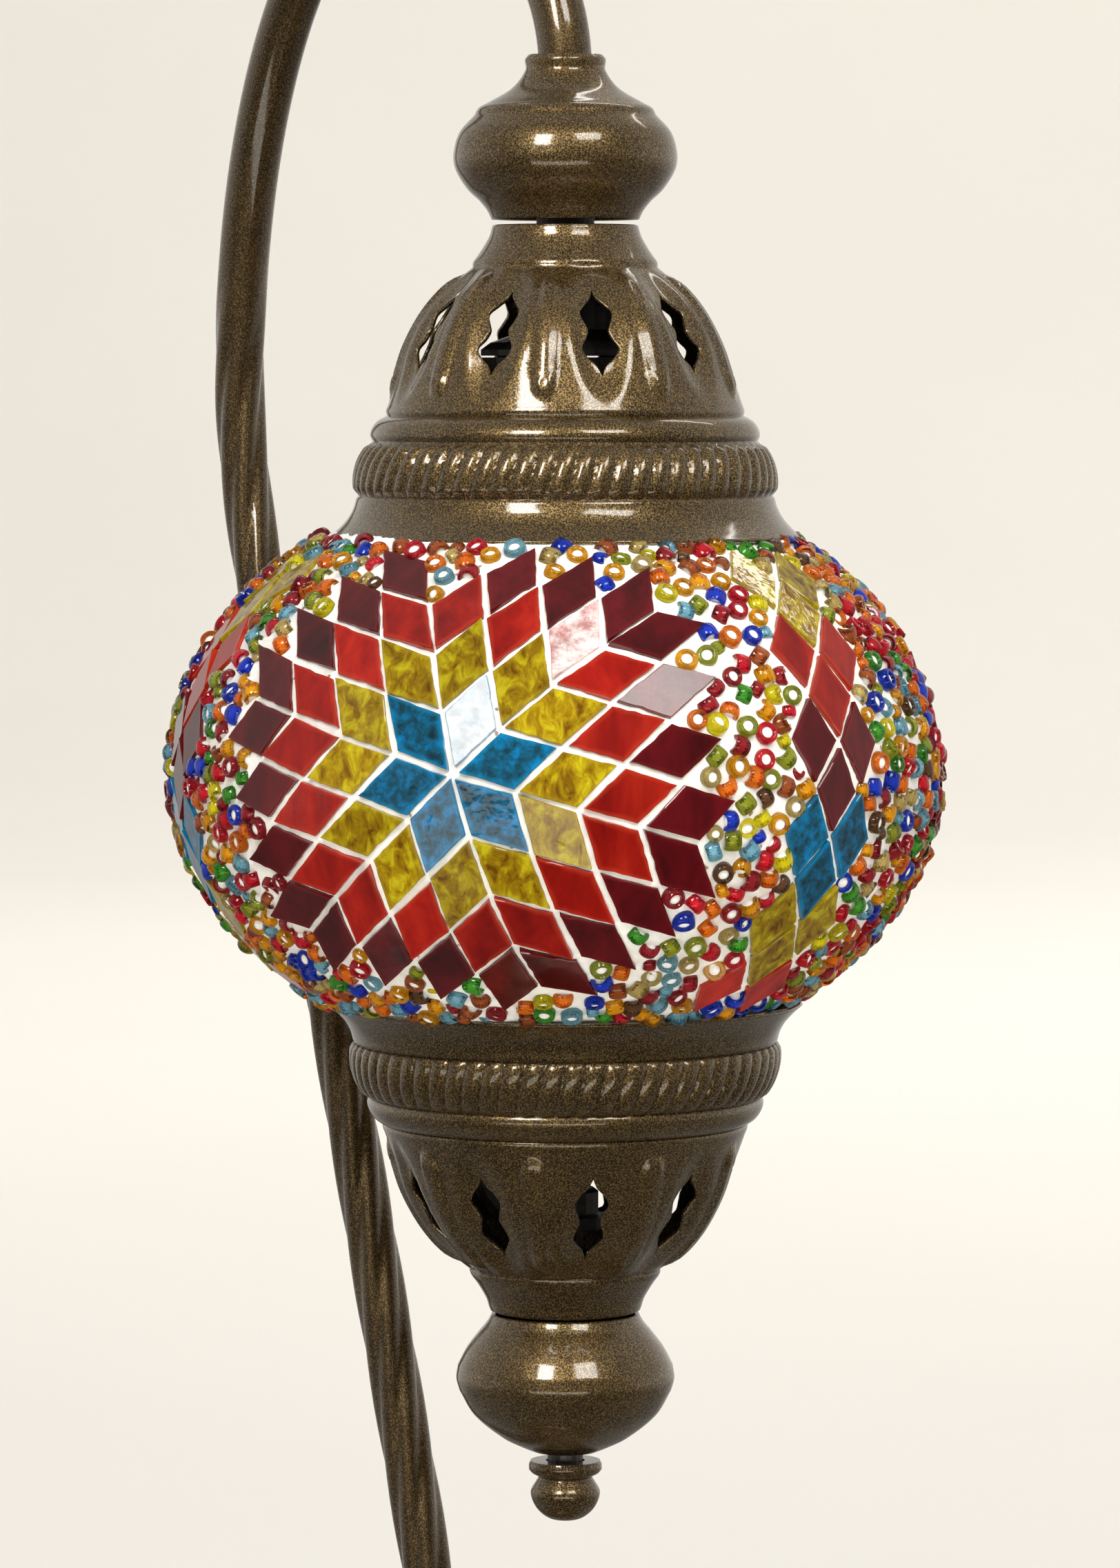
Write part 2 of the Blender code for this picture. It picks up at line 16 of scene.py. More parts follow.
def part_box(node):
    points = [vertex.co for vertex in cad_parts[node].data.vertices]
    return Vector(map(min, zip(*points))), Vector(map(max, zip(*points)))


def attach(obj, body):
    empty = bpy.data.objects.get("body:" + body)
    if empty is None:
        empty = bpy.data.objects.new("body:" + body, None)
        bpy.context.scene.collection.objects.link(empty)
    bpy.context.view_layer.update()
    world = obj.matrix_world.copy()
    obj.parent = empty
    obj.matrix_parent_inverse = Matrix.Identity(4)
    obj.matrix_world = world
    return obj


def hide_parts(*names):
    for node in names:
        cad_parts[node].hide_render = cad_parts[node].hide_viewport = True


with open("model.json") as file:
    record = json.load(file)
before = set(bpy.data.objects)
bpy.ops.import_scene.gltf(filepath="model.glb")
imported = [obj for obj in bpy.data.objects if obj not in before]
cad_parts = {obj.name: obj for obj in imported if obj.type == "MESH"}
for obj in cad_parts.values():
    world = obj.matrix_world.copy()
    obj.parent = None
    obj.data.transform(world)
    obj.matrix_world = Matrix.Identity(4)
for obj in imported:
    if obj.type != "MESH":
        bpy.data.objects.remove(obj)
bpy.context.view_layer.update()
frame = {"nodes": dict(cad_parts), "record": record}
MM = 0.001


def box_mm(node):
    """A CAD node's lowest and highest corners."""
    low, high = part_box(node)
    return low / MM, high / MM


# Places, from the frame
UPPER_CAP = box_mm("upper_cap")
LOWER_CAP = box_mm("lower_cap")
UPPER_RIM = UPPER_CAP[0].z
LOWER_RIM = LOWER_CAP[1].z
UPPER_WAIST = UPPER_CAP[1].z
EQUATOR = (UPPER_RIM + LOWER_RIM) / 2
AXIS_X = (UPPER_CAP[0].x + UPPER_CAP[1].x) / 2
GROUT_BOX = box_mm("grout_layer")
NOMINAL_RADIUS = 65.0  # the globe's proportions
NOMINAL_HALF = 49.5
TILE_RISE = 1.9  # the tiles' outer faces stand this far out from the plaster's CAD solid
GLOBE_RADIUS = (GROUT_BOX[1].x - GROUT_BOX[0].x) / 2 + TILE_RISE
GLOBE_HALF = GLOBE_RADIUS * NOMINAL_HALF / NOMINAL_RADIUS
GLOBE_EDGE = GROUT_BOX[1].z - EQUATOR

FACING = -38.0  # the longitude that faces the camera
GLOBE_SHIFT = 1.6  # the globe sits this far off the caps' axis, to the camera's left
SHEET = 0.7  # stamped metal

# Caps: smooth stretches of (height above the rim, radius), with a crease between one and the next
CAP_STRETCHES = [
    [(1.2, 39.6), (2.4, 38.3), (4.2, 36.7), (6.0, 35.7), (7.7, 35.2)],
    [(7.7, 34.7), (8.9, 35.0), (11.4, 35.0), (14.0, 34.3), (16.2, 33.0), (17.3, 32.4)],
    [(17.3, 32.4), (18.2, 32.8), (19.4, 32.5), (20.6, 31.6), (21.5, 30.0)],
    [(21.5, 30.0), (22.3, 30.2), (23.4, 29.8), (28.4, 28.1), (33.0, 26.6), (37.7, 24.2), (41.4, 21.3),
     (44.2, 18.2), (46.3, 15.6)],
    [(46.3, 15.6), (47.2, 15.5), (48.3, 14.7), (49.8, 13.7), (51.6, 12.7), (53.3, 12.2)],
]
RIB_COUNT = 66
RIB_HEIGHT = 0.75
RIB_SLANT = 0.3  # millimetres sideways for each one up
RIB_PITCH = 3.4  # from one rib to the next
RIB_MIDDLE = 12.3
RIB_WINDOW = (8.0, 9.6, 15.6, 17.1)  # heights where the ribs start to rise, are whole, start to sink, and end
HOLE_COUNT = 9
PANEL_COLUMNS = 50  # mesh columns for each hole's share of the cap
HOLE_MIDDLE = 35.6
HOLE_HALF = [  # (half width, height from the middle), from the upper point to the lower
    (0.0, 7.6), (0.5, 6.3), (1.6, 5.1), (2.75, 3.5), (2.3, 1.9), (1.8, 0.6), (2.3, -0.8), (3.15, -2.5),
    (2.2, -4.2), (0.8, -5.5), (0.0, -7.2),
]
UPPER_TURN = -25.0  # longitude of a hole
LOWER_TURN = -28.4
FLUTE_LOW = 23.8
FLUTE_HIGH = 45.6
FLUTE_HEIGHT = 0.95
DISH_DEPTH = 1.1
DISH_HALF = (3.2, 7.4)  # half width and half height of the sunk patch round a hole
PANEL_LOW = 27.6  # the heights between which the cap's mesh is made of pierced panels
PANEL_HIGH = 44.0
PANEL_ROWS = 22
PANEL_RINGS = 9
WAIST_RADIUS = 11.9
WAIST_STEP = 0.15
BASE_RIBS = 114
BASE_FLUTES = 14

# The mosaic
STAR_PITCH = 10.4
STAR_LONGITUDE = -52.6
STAR_ARC = 3.0
STAR_TURN = 14.0
STAR_COLOURS = ["blue", "yellow", "red", "maroon"]
STAR_PLACES = [0.0, 136.0, 243.0]  # degrees on from the first star
BAND_PLACES = [59.4, 189.5, 300.0]
FIGURE_COUNT = len(STAR_PLACES)
BAND_LEAN = 5.0
BAND_COLUMN = 5.3
BAND_PITCH = 15.6
GROUT_LINE = 0.95
MOSAIC_REACH = 49.0
STAR_TILES = 6 * sum(range(1, len(STAR_COLOURS) + 1))
HAZY_TILES = {13: 0.8, 10: 0.45}  # two tiles mixed far toward pale grey and made rougher, by their number in the first star
TILE_RINGS = [(0.0, -1.7, 1.0), (0.0, -0.12, 1.0), (0.14, 0.0, 0.9), (1.0, 0.0, 0.0)]  # (inset, height, share of the painted edge light)
TILE_LIFT = 0.25
GROUT_LEVEL = -0.62
GROUT_BACK = -2.85

# Arm knots: reach behind the globe's axis, height, lean from upright, and the handles on each side
ARM_KNOTS = [
    (28.0, 36.0, 0.0, 0.0, 8.0), (28.0, 60.0, 0.0, 8.0, 10.0), (32.1, 88.6, 16.2, 10.0, 60.0),
    (88.6, 284.0, 16.2, 60.0, 12.0), (94.9, 320.5, 0.0, 12.0, 48.0),
    (47.5, 408.0, -90.0, 26.0, 26.0), (0.0, 372.0, -180.0, 20.0, 4.0), (0.0, 361.2, -180.0, 4.0, 0.0),
]
ARM_RADIUS = 4.5
ARM_BORE = 3.5


# Shapes


def cubic(a, b, c, d, count):
    """Points of a Bezier curve, both ends included."""
    t = np.linspace(0.0, 1.0, count)[:, None]
    a, b, c, d = (np.array(p, float) for p in (a, b, c, d))
    return a * (1 - t) ** 3 + 3 * b * t * (1 - t) ** 2 + 3 * c * t**2 * (1 - t) + d * t**3


def smooth(points, step):
    """A smooth curve through the points, as points about one step apart."""
    points = np.array(points, float)
    gaps = np.linalg.norm(np.diff(points, axis=0), axis=1)
    path = [points[:1]]
    slopes = []
    for k in range(len(points)):
        low, high = max(k - 1, 0), min(k + 1, len(points) - 1)
        slopes.append((points[high] - points[low]) / gaps[low:high].sum())
    for k, gap in enumerate(gaps):
        a, b = points[k], points[k + 1]
        count = max(3, math.ceil(gap / step) + 1)
        path.append(cubic(a, a + slopes[k] * gap / 3, b - slopes[k + 1] * gap / 3, b, count)[1:])
    return np.concatenate(path)


def profile(stretches, step=0.5):
    """Smooth stretches end to end, with their creases kept."""
    parts = [smooth(stretch, step) for stretch in stretches]
    return np.concatenate([parts[0]] + [part[1:] for part in parts[1:]])


def raised(height, *points):
    """(height, radius) points counted from a height, as absolute ones."""
    return [(height + rise, radius) for rise, radius in points]


def ease(x, low, high):
    """0 below low, 1 above high, and smooth between them."""
    t = np.clip((x - low) / (high - low), 0.0, 1.0)
    return t * t * (3 - 2 * t)


def grid_faces(rows, columns):
    """Quads over a grid of points stored row by row, closed round its columns."""
    faces = []
    for r in range(rows - 1):
        for c in range(columns):
            d = (c + 1) % columns
            faces.append((r * columns + c, r * columns + d, (r + 1) * columns + d, (r + 1) * columns + c))
    return faces


def tube_faces(rows, columns):
    """Quads over a grid that is closed both round its columns and from its last row to its first."""
    last = (rows - 1) * columns
    seam = [(last + c, last + (c + 1) % columns, (c + 1) % columns, c) for c in range(columns)]
    return grid_faces(rows, columns) + seam


def welded_mesh(name, points, faces, gap):
    """A mesh given in millimetres, with points closer than gap metres made one."""
    bm = bmesh.new()
    verts = [bm.verts.new(p) for p in np.asarray(points) * MM]
    for face in faces:
        bm.faces.new([verts[k] for k in face])
    bmesh.ops.remove_doubles(bm, verts=bm.verts, dist=gap)
    bmesh.ops.dissolve_degenerate(bm, edges=bm.edges, dist=1e-7)
    bmesh.ops.recalc_face_normals(bm, faces=bm.faces)
    mesh = bpy.data.meshes.new(name)
    bm.to_mesh(mesh)
    bm.free()
    return mesh


def add_piece(name, points, faces, material, body, stands_for=(), crease=40.0):
    """A mesh given in millimetres, in the row frame, that rides on a body."""
    mesh = welded_mesh(name, points, faces, 1e-6)
    return finish_piece(name, mesh, material, body, stands_for, crease)


def finish_piece(name, mesh, material, body, stands_for=(), crease=40.0):
    """Shades a mesh, links it, and tells the frame what it rides on and stands for."""
    mesh.shade_smooth()
    mesh.set_sharp_from_angle(angle=math.radians(crease))
    mesh.materials.append(material)
    obj = bpy.data.objects.new(name, mesh)
    bpy.context.scene.collection.objects.link(obj)
    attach(obj, body)
    if stands_for:
        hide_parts(*stands_for)
    return obj


def solidify(obj, thickness):
    """Gives a skin its thickness, inward from its outer face."""
    modifier = obj.modifiers.new("sheet", "SOLIDIFY")
    modifier.thickness = thickness * MM
    modifier.offset = -1.0
    return obj


def revolve(outline, columns, relief=None, closed=False):
    """Points and faces of an outline of (height, radius) turned about the axis x = 0."""
    outline = np.asarray(outline, float)
    if closed:
        outline = np.concatenate([outline, outline[:1]])
    along = np.gradient(outline, axis=0)
    along /= np.linalg.norm(along, axis=1)[:, None] + 1e-12
    turns = np.arange(columns) * 2 * math.pi / columns
    angle = np.tile(turns, len(outline))
    height = np.repeat(outline[:, 0], columns)
    radius = np.repeat(outline[:, 1], columns)
    if relief is not None:
        push = relief(angle, height, radius)
        height = height - push * np.repeat(along[:, 1], columns)
        radius = radius + push * np.repeat(along[:, 0], columns)
    points = np.stack([radius * np.cos(angle), radius * np.sin(angle), height], axis=1)
    return points, grid_faces(len(outline), columns)


def copies(points, faces, places):
    """The points and faces of one small mesh, repeated at each 4x4 place."""
    homogeneous = np.concatenate([points, np.ones((len(points), 1))], axis=1)
    moved = [(homogeneous @ np.array(place).T)[:, :3] for place in places]
    every = [faces + k * len(points) for k in range(len(moved))]
    return np.concatenate(moved), np.concatenate(every)


def waviness(points, scale, amount):
    """A slow, smooth unevenness for each point."""
    return np.array([noise.noise(Vector(p) / scale) for p in points]) * amount


def flat_turn(angle):
    """The 2x2 matrix that turns a flat point by an angle."""
    return np.array(((math.cos(angle), -math.sin(angle)), (math.sin(angle), math.cos(angle))))


def lobe(x, power=2.5):
    """A rounded bump over each unit of x, with a narrow valley between one and the next."""
    return 1.0 - np.abs(2 * (x - np.floor(x)) - 1) ** power


# Materials


def display(red, green, blue):
    """A linear colour from its 0-255 values on a screen."""
    shares = (red / 255, green / 255, blue / 255)
    return tuple(c / 12.92 if c <= 0.04045 else ((c + 0.055) / 1.055) ** 2.4 for c in shares)


def new_material(name):
    """A new material, its node tree and its shader."""
    material = bpy.data.materials.new(name)
    material.use_nodes = True
    tree = material.node_tree
    return material, tree, tree.nodes["Principled BSDF"]


def wire(node, inputs):
    """Sets a node's inputs, each to a socket or a constant."""
    for key, value in inputs.items():
        if isinstance(value, bpy.types.NodeSocket):
            node.id_data.links.new(value, node.inputs[key])
        else:
            node.inputs[key].default_value = value


def made(tree, kind, inputs, output):
    """A new node with its inputs set. Returns one of its outputs."""
    node = tree.nodes.new("ShaderNode" + kind)
    wire(node, inputs)
    return node.outputs[output]


def noise_node(tree, scale, detail=2.0, roughness=0.5, stretch=None, swirl=0.0):
    """Blender's noise at a scale of features per metre, drawn out along an axis if stretch is given."""
    source = made(tree, "TexCoord", {}, "Object")
    if stretch:
        source = made(tree, "Mapping", {"Vector": source, "Scale": stretch}, "Vector")
    inputs = {"Vector": source, "Scale": scale, "Detail": detail, "Roughness": roughness, "Distortion": swirl}
    return made(tree, "TexNoise", inputs, "Fac")


def ramp_node(tree, source, stops):
    """A colour ramp through (position, colour) stops, where one number stands for a grey."""
    node = tree.nodes.new("ShaderNodeValToRGB")
    ramp = node.color_ramp
    while len(ramp.elements) < len(stops):
        ramp.elements.new(1.0)
    for element, (position, colour) in zip(ramp.elements, stops):
        element.position = position
        element.color = (*(colour if isinstance(colour, tuple) else (colour,) * 3), 1.0)
    wire(node, {"Fac": source})
    return node.outputs["Color"]


def mix_node(tree, share, first, second, blend="MIX"):
    """Two colours mixed. Each of share, first and second is a socket or a constant."""
    node = tree.nodes.new("ShaderNodeMix")
    node.data_type = "RGBA"
    node.blend_type = blend
    first, second = ((*c, 1.0) if isinstance(c, tuple) else c for c in (first, second))
    wire(node, {0: share, 6: first, 7: second})
    return node.outputs[2]


def bump_node(tree, shader, source, distance):
    """Roughens the shader's surface by a height in millimetres."""
    inputs = {"Height": source, "Strength": 1.0, "Distance": distance * MM}
    wire(shader, {"Normal": made(tree, "Bump", inputs, "Normal")})


def range_node(tree, source):
    """Takes -1 to 1 to the 0 to 1 of a colour ramp."""
    return made(tree, "MapRange", {"Value": source, "From Min": -1.0}, "Result")


def attribute_node(tree, name):
    """A value stored on the mesh."""
    node = tree.nodes.new("ShaderNodeAttribute")
    node.attribute_name = name
    return node


def bronze_material(name, contrast):
    """Dark lacquered bronze with fine gold specks."""
    material, tree, shader = new_material(name)
    specks = ramp_node(tree, noise_node(tree, 3800, 2, 0.7), [(0.45, 0), (0.7, contrast)])
    blotches = noise_node(tree, 90, 3)
    patina = ramp_node(tree, blotches, [(0.35, display(48, 35, 21)), (0.7, display(68, 52, 32))])
    colour = mix_node(tree, specks, patina, display(190, 158, 98))
    rough = ramp_node(tree, specks, [(0, 0.46), (1, 0.34)])
    wire(shader, {"Base Color": colour, "Roughness": rough, "Metallic": 0.85})
    wire(shader, {"Coat Weight": 1.0, "Coat IOR": 1.6, "Coat Roughness": 0.1})
    bump_node(tree, shader, noise_node(tree, 2400, 2, 0.6), 0.02)
    return material


def plain_material(name, low, high, roughness, metallic, scale, bump, sockets):
    """One finish with a little grain in its colour, roughness and surface."""
    material, tree, shader = new_material(name)
    grain = noise_node(tree, scale, 3, 0.6)
    colour = ramp_node(tree, grain, [(0.3, low), (0.7, high)])
    rough = ramp_node(tree, grain, [(0.2, roughness * 0.8), (0.8, min(roughness * 1.2, 1.0))])
    wire(shader, {"Base Color": colour, "Roughness": rough, "Metallic": metallic, **sockets})
    bump_node(tree, shader, grain, bump)
    return material


def grout_material():
    """Fine plaster, its cream varying in broad patches and fine grain, with dark crumbs here and there."""
    material, tree, shader = new_material("plaster_grout")
    fine = noise_node(tree, 700, 4, 0.65)
    base = ramp_node(tree, noise_node(tree, 60, 3), [(0.35, (0.82, 0.8, 0.74)), (0.65, (0.9, 0.89, 0.86))])
    tint = ramp_node(tree, fine, [(0.3, (0.84, 0.82, 0.78)), (0.6, (1.0, 1.0, 1.0))])
    colour = mix_node(tree, 0.6, base, tint, "MULTIPLY")
    crumbs = ramp_node(tree, noise_node(tree, 420, 1), [(0.73, 0), (0.77, 1)])
    wire(shader, {"Base Color": mix_node(tree, crumbs, colour, (0.3, 0.2, 0.16)), "Roughness": 0.75})
    bump_node(tree, shader, fine, 0.12)
    return material


TILE_LOOKS = {  # (dark, middle, bright, lit edge), mottling scale, contrast, streaks, swirl, ripples' depth
    "blue": (((16, 40, 48), (16, 70, 94), (8, 98, 146), (16, 136, 188)), 520, 1.0, None, 0.3, 0.06),
    "yellow": (((88, 56, 6), (134, 108, 10), (172, 160, 22), (160, 140, 30)), 440, 1.0, (1, 1, 0.6), 0.6,
               0.12),
    "red": (((90, 7, 5), (128, 17, 10), (160, 33, 18), (184, 60, 34)), 110, 0.8, (1, 1, 0.16), 0.3, 0.06),
    "maroon": (((42, 4, 7), (68, 7, 12), (94, 13, 20), (108, 24, 24)), 130, 0.7, (1, 1, 0.3), 0.3, 0.08),
}


def tile_material(name):
    """Hand-made sheet glass: mottled, with painted light along its cut edges, each tile a little different.
    """
    colours, scale, contrast, streaks, swirl, ripple = TILE_LOOKS[name]
    dark, middle, bright, lit = (display(*colour) for colour in colours)
    material, tree, shader = new_material(name + "_tile_glass")
    mottle = noise_node(tree, scale, 4, 0.62, streaks, swirl)
    spread = 0.17 / contrast
    stops = [(0.5 - spread, dark), (0.5, middle), (0.5 + spread, bright)]
    colour = ramp_node(tree, mottle, stops)
    own = attribute_node(tree, "tile_tint")
    colour = mix_node(tree, 1.0, colour, own.outputs["Color"], "MULTIPLY")
    # Painted highlight: a tile's sides and bevelled rim are mixed up to 35 % toward the lit edge colour.
    edge = attribute_node(tree, "tile_edge_light")
    share = ramp_node(tree, edge.outputs["Fac"], [(0.0, 0), (1.0, 0.35)])
    colour = mix_node(tree, share, colour, lit)
    haze = attribute_node(tree, "tile_haze")
    pale_veil = ramp_node(tree, noise_node(tree, 260, 5, 0.7), [(0.4, 0.25), (0.62, 1)])
    pale_veil = mix_node(tree, 1.0, pale_veil, haze.outputs["Color"], "MULTIPLY")
    colour = mix_node(tree, pale_veil, colour, (0.86, 0.84, 0.82))
    rough = ramp_node(tree, pale_veil, [(0, 0.06), (1, 0.5)])
    wire(shader, {"Base Color": colour, "Roughness": rough, "IOR": 1.52})
    bump_node(tree, shader, noise_node(tree, scale * 0.7, 2, 0.5, None, swirl), ripple)
    return material


def bead_material():
    """Seed bead glass, clear enough for the plaster under it and in its bore to shine through. Its colour
    attribute holds each bead's colour with painted shade on its sides.
    """
    material, tree, shader = new_material("seed_bead_glass")
    own = attribute_node(tree, "bead_colour_and_shade")
    rough = ramp_node(tree, noise_node(tree, 800, 2), [(0.3, 0.03), (0.7, 0.07)])
    wire(shader, {"Base Color": own.outputs["Color"], "Roughness": rough})
    wire(shader, {"Transmission Weight": 0.93, "IOR": 1.5})
    return material


# Caps

CAP_PROFILE = profile(CAP_STRETCHES)
CAP_NORMALS = np.gradient(CAP_PROFILE, axis=0)
CAP_NORMALS /= np.linalg.norm(CAP_NORMALS, axis=1)[:, None]


def cap_relief(angle, height, radius):
    """What the stamping raises or sinks, along the profile's normal. Angle 0 is the middle of a hole."""
    ribs = lobe(RIB_COUNT * (angle / (2 * math.pi)) - RIB_SLANT * (height - RIB_MIDDLE) / RIB_PITCH)
    window = ease(height, *RIB_WINDOW[:2]) * (1 - ease(height, *RIB_WINDOW[2:]))
    push = RIB_HEIGHT * ribs * window
    panel = 2 * math.pi / HOLE_COUNT
    across = (angle / panel - np.floor(angle / panel) - 0.5) * panel * radius  # from the nearest flute
    half = 1.8 + 0.5 * (1 - ease(height, FLUTE_LOW, FLUTE_HIGH))
    tip = 1.6 * half
    beyond = np.maximum(FLUTE_LOW + tip - height, 0) + np.maximum(height - FLUTE_HIGH + tip, 0)
    inside = 1 - np.hypot(across / half, beyond / tip)
    push += FLUTE_HEIGHT * ease(inside, 0.0, 0.7) * (1 - 0.25 * np.exp(-((across / (0.3 * half)) ** 2)))
    aside = (angle / panel - np.round(angle / panel)) * panel * radius  # from the nearest hole's middle
    ring = np.sqrt((aside / DISH_HALF[0]) ** 2 + ((height - HOLE_MIDDLE) / DISH_HALF[1]) ** 2)
    return push - DISH_DEPTH * (1 - ease(ring, 0.75, 1.75))


def cap_points(angle, height):
    """The cap's outer face at an angle and a height above the rim."""
    heights = CAP_PROFILE[:, 0]
    radius = np.interp(height, heights, CAP_PROFILE[:, 1])
    rise = np.interp(height, heights, CAP_NORMALS[:, 0])
    run = np.interp(height, heights, CAP_NORMALS[:, 1])
    push = cap_relief(angle, height, radius)
    ring = radius + push * rise
    points = np.stack([ring * np.cos(angle), ring * np.sin(angle), height - push * run], axis=1)
    bend = waviness(points, 9.0, 0.12)
    points[:, 0] += bend * np.cos(angle)
    points[:, 1] += bend * np.sin(angle)
    return points


def hole_loop(count):
    """The two-lobed hole as that many (across, height) points, anticlockwise from its upper point."""
    half = smooth(HOLE_HALF, 0.1)
    loop = np.concatenate([half * (-1, 1), (half * (1, 1))[::-1][1:-1]])
    closed = np.concatenate([loop, loop[:1]])
    run = np.concatenate([[0.0], np.cumsum(np.linalg.norm(np.diff(closed, axis=0), axis=1))])
    at = np.arange(count) * run[-1] / count
    across = np.interp(at, run, closed[:, 0])
    height = np.interp(at, run, closed[:, 1]) + HOLE_MIDDLE
    return np.stack([across, height], axis=1)


def panel_border(low, high, half_turn, columns, rows):
    """The panel's edge as (angle, height), anticlockwise from the middle of its top."""
    top = np.linspace(half_turn, -half_turn, columns + 1)
    side = np.linspace(high, low, rows + 1)
    middle = columns // 2
    left = [(a, high) for a in top[middle:]] + [(-half_turn, h) for h in side[1:]]
    base = [(a, low) for a in top[::-1][1:]]
    right = [(half_turn, h) for h in side[::-1][1:]]
    return np.array(left + base + right + [(a, high) for a in top[1:middle]])


def cap_mesh():
    """(angle, height) points and faces of the whole cap: plain rows, and nine pierced panels among them."""
    columns = HOLE_COUNT * PANEL_COLUMNS
    low, high = PANEL_LOW, PANEL_HIGH
    heights = CAP_PROFILE[:, 0]
    points = []
    faces = []
    for rows in (
        np.concatenate([heights[heights < low - 0.2], [low]]),
        np.concatenate([[high], heights[heights > high + 0.2]]),
    ):
        start = sum(len(p) for p in points)
        turns = np.arange(columns) * 2 * math.pi / columns
        points.append(np.stack([np.tile(turns, len(rows)), np.repeat(rows, columns)], axis=1))
        faces += [tuple(start + k for k in face) for face in grid_faces(len(rows), columns)]
    half_turn = math.pi / HOLE_COUNT
    border = panel_border(low, high, half_turn, PANEL_COLUMNS, PANEL_ROWS)
    hole = hole_loop(len(border))
    hole[:, 0] /= np.interp(hole[:, 1], heights, CAP_PROFILE[:, 1])
    shares = np.linspace(0, 1, PANEL_RINGS + 1)[:, None, None] ** 1.3
    panel = (hole * (1 - shares) + border * shares).reshape(-1, 2)
    quads = grid_faces(PANEL_RINGS + 1, len(border))
    for k in range(HOLE_COUNT):
        start = sum(len(p) for p in points)
        points.append(panel + (2 * half_turn * k, 0.0))
        faces += [tuple(start + n for n in quad) for quad in quads]
    return np.concatenate(points), faces


def cap(name, rim, direction, turn, body, bore, material):
    """A stamped cap. direction is 1 if it narrows upward, and -1 for the same cap turned over."""
    flat, faces = cap_mesh()
    points = cap_points(flat[:, 0], flat[:, 1])
    last = len(CAP_PROFILE) - 1
    columns = HOLE_COUNT * PANEL_COLUMNS
    ring = cap_points(np.arange(columns) * 2 * math.pi / columns, np.full(columns, CAP_PROFILE[last, 0]))
    top = [ring]
    for radius in (WAIST_RADIUS, bore):
        shrunk = ring.copy()
        shrunk[:, :2] *= (radius / np.linalg.norm(ring[:, :2], axis=1))[:, None]
        shrunk[:, 2] = CAP_PROFILE[last, 0] + WAIST_STEP
        top.append(shrunk)
    start = len(points)
    points = np.concatenate([points] + top)
    faces += [tuple(start + k for k in face) for face in grid_faces(3, columns)]
    spin = Matrix.Rotation(math.radians(turn), 3, "Z")
    flip = Matrix.Identity(3) if direction > 0 else Matrix.Rotation(math.pi, 3, "X")
    points = points @ np.array(spin @ flip).T + (AXIS_X, 0.0, rim)
    stands_for = [name.replace("pierced_", "")]
    piece = add_piece(name, points, faces, material, body, stands_for, 50)
    return solidify(piece, SHEET)


def turned_piece(name, outline, bronze, body, node, axis_x, columns, skin=False, relief=None, crease=40.0):
    """A turned bronze piece that stands for a CAD node. A skin's outline is open, and it is thickened."""
    points, faces = revolve(outline, columns, relief, not skin)
    piece = add_piece(name, points + (axis_x, 0, 0), faces, bronze, body, [node], crease)
    return solidify(piece, SHEET) if skin else piece


# The rest of the metal


def hanger(bronze):
    """The bell above the upper cap."""
    foot = UPPER_WAIST + 0.3
    top = box_mm("hanger_bell")[1].z
    rise = [
        raised(foot, (0, 12.4), (1.6, 13.2), (3.2, 14.5)),
        raised(foot, (3.2, 14.5), (5.0, 16.4), (8.2, 18.4), (10.8, 18.8), (14.5, 17.8), (17.5, 15.2)),
        raised(foot, (17.5, 15.2), (18.6, 14.6), (19.4, 13.2)),
        raised(foot, (19.4, 13.2), (22.0, 8.9), (25.0, 6.7)) + [(top - 0.8, 6.8), (top, 6.2)],
        [(top, 6.2), (top, 4.9)],
    ]
    turned_piece("hanger_bell_skin", profile(rise), bronze, "stand", "hanger_bell", AXIS_X, 120, True)


def finial(bronze):
    """The cup under the lower cap, and the knob that holds it."""
    top = box_mm("finial_shell")[1].z
    plate = box_mm("finial_shell")[0].z
    rise = [
        raised(plate, (0, 3.3), (0, 5.4)),
        raised(plate, (0, 5.4), (0.9, 7.6), (2.6, 10.9), (6.5, 15.6), (10.6, 18.0)),
        raised(plate, (10.6, 18.0), (12.6, 18.5), (14.8, 18.2)),
        raised(plate, (14.8, 18.2)) + raised(top, (-6.0, 16.7), (-3.2, 14.6), (-1.5, 13.2), (0, 12.4)),
    ]
    turned_piece("finial_cup", profile(rise), bronze, "finial", "finial_shell", AXIS_X, 120, True)
    low, high = box_mm("finial_nut")
    low, high = low.z, high.z
    collar = raised(high, (0, 3.3), (0, 5.9), (-0.6, 6.2), (-1.5, 6.2), (-2.1, 5.7))
    throat = raised(high, (-2.1, 5.7), (-2.8, 4.6), (-3.4, 4.9))
    bulge = raised(high, (-3.4, 4.9), (-5.4, 5.9), (-8.0, 5.0), (-9.8, 2.9)) + [(low, 0.0)]
    bore = raised(low, (0, 0.0), (5.8, 0.0), (5.8, 3.3))
    outline = np.concatenate([collar, smooth(throat, 0.3)[1:], smooth(bulge, 0.4)[1:], bore[1:]])
    turned_piece("finial_knob", outline, bronze, "finial", "finial_nut", AXIS_X, 64)


def base_relief(angle, height, radius):
    """Slanted ribs round the base's band, and raised flutes over its dome."""
    ribs = lobe(BASE_RIBS * angle / (2 * math.pi) - RIB_SLANT * (height - 14.0) / RIB_PITCH)
    push = RIB_HEIGHT * ribs * ease(height, 10.6, 12.0) * (1 - ease(height, 16.4, 17.8))
    panel = 2 * math.pi / BASE_FLUTES
    across = (angle / panel - np.round(angle / panel)) * panel * radius
    half = 1.3 + 1.2 * ease(radius, 24.0, 50.0)
    beyond = np.maximum(radius - 49.0, 0) + np.maximum(22.0 - radius, 0)
    return push + 0.95 * np.clip(1 - (across**2 + beyond**2) / half**2, 0, 1) ** 0.75


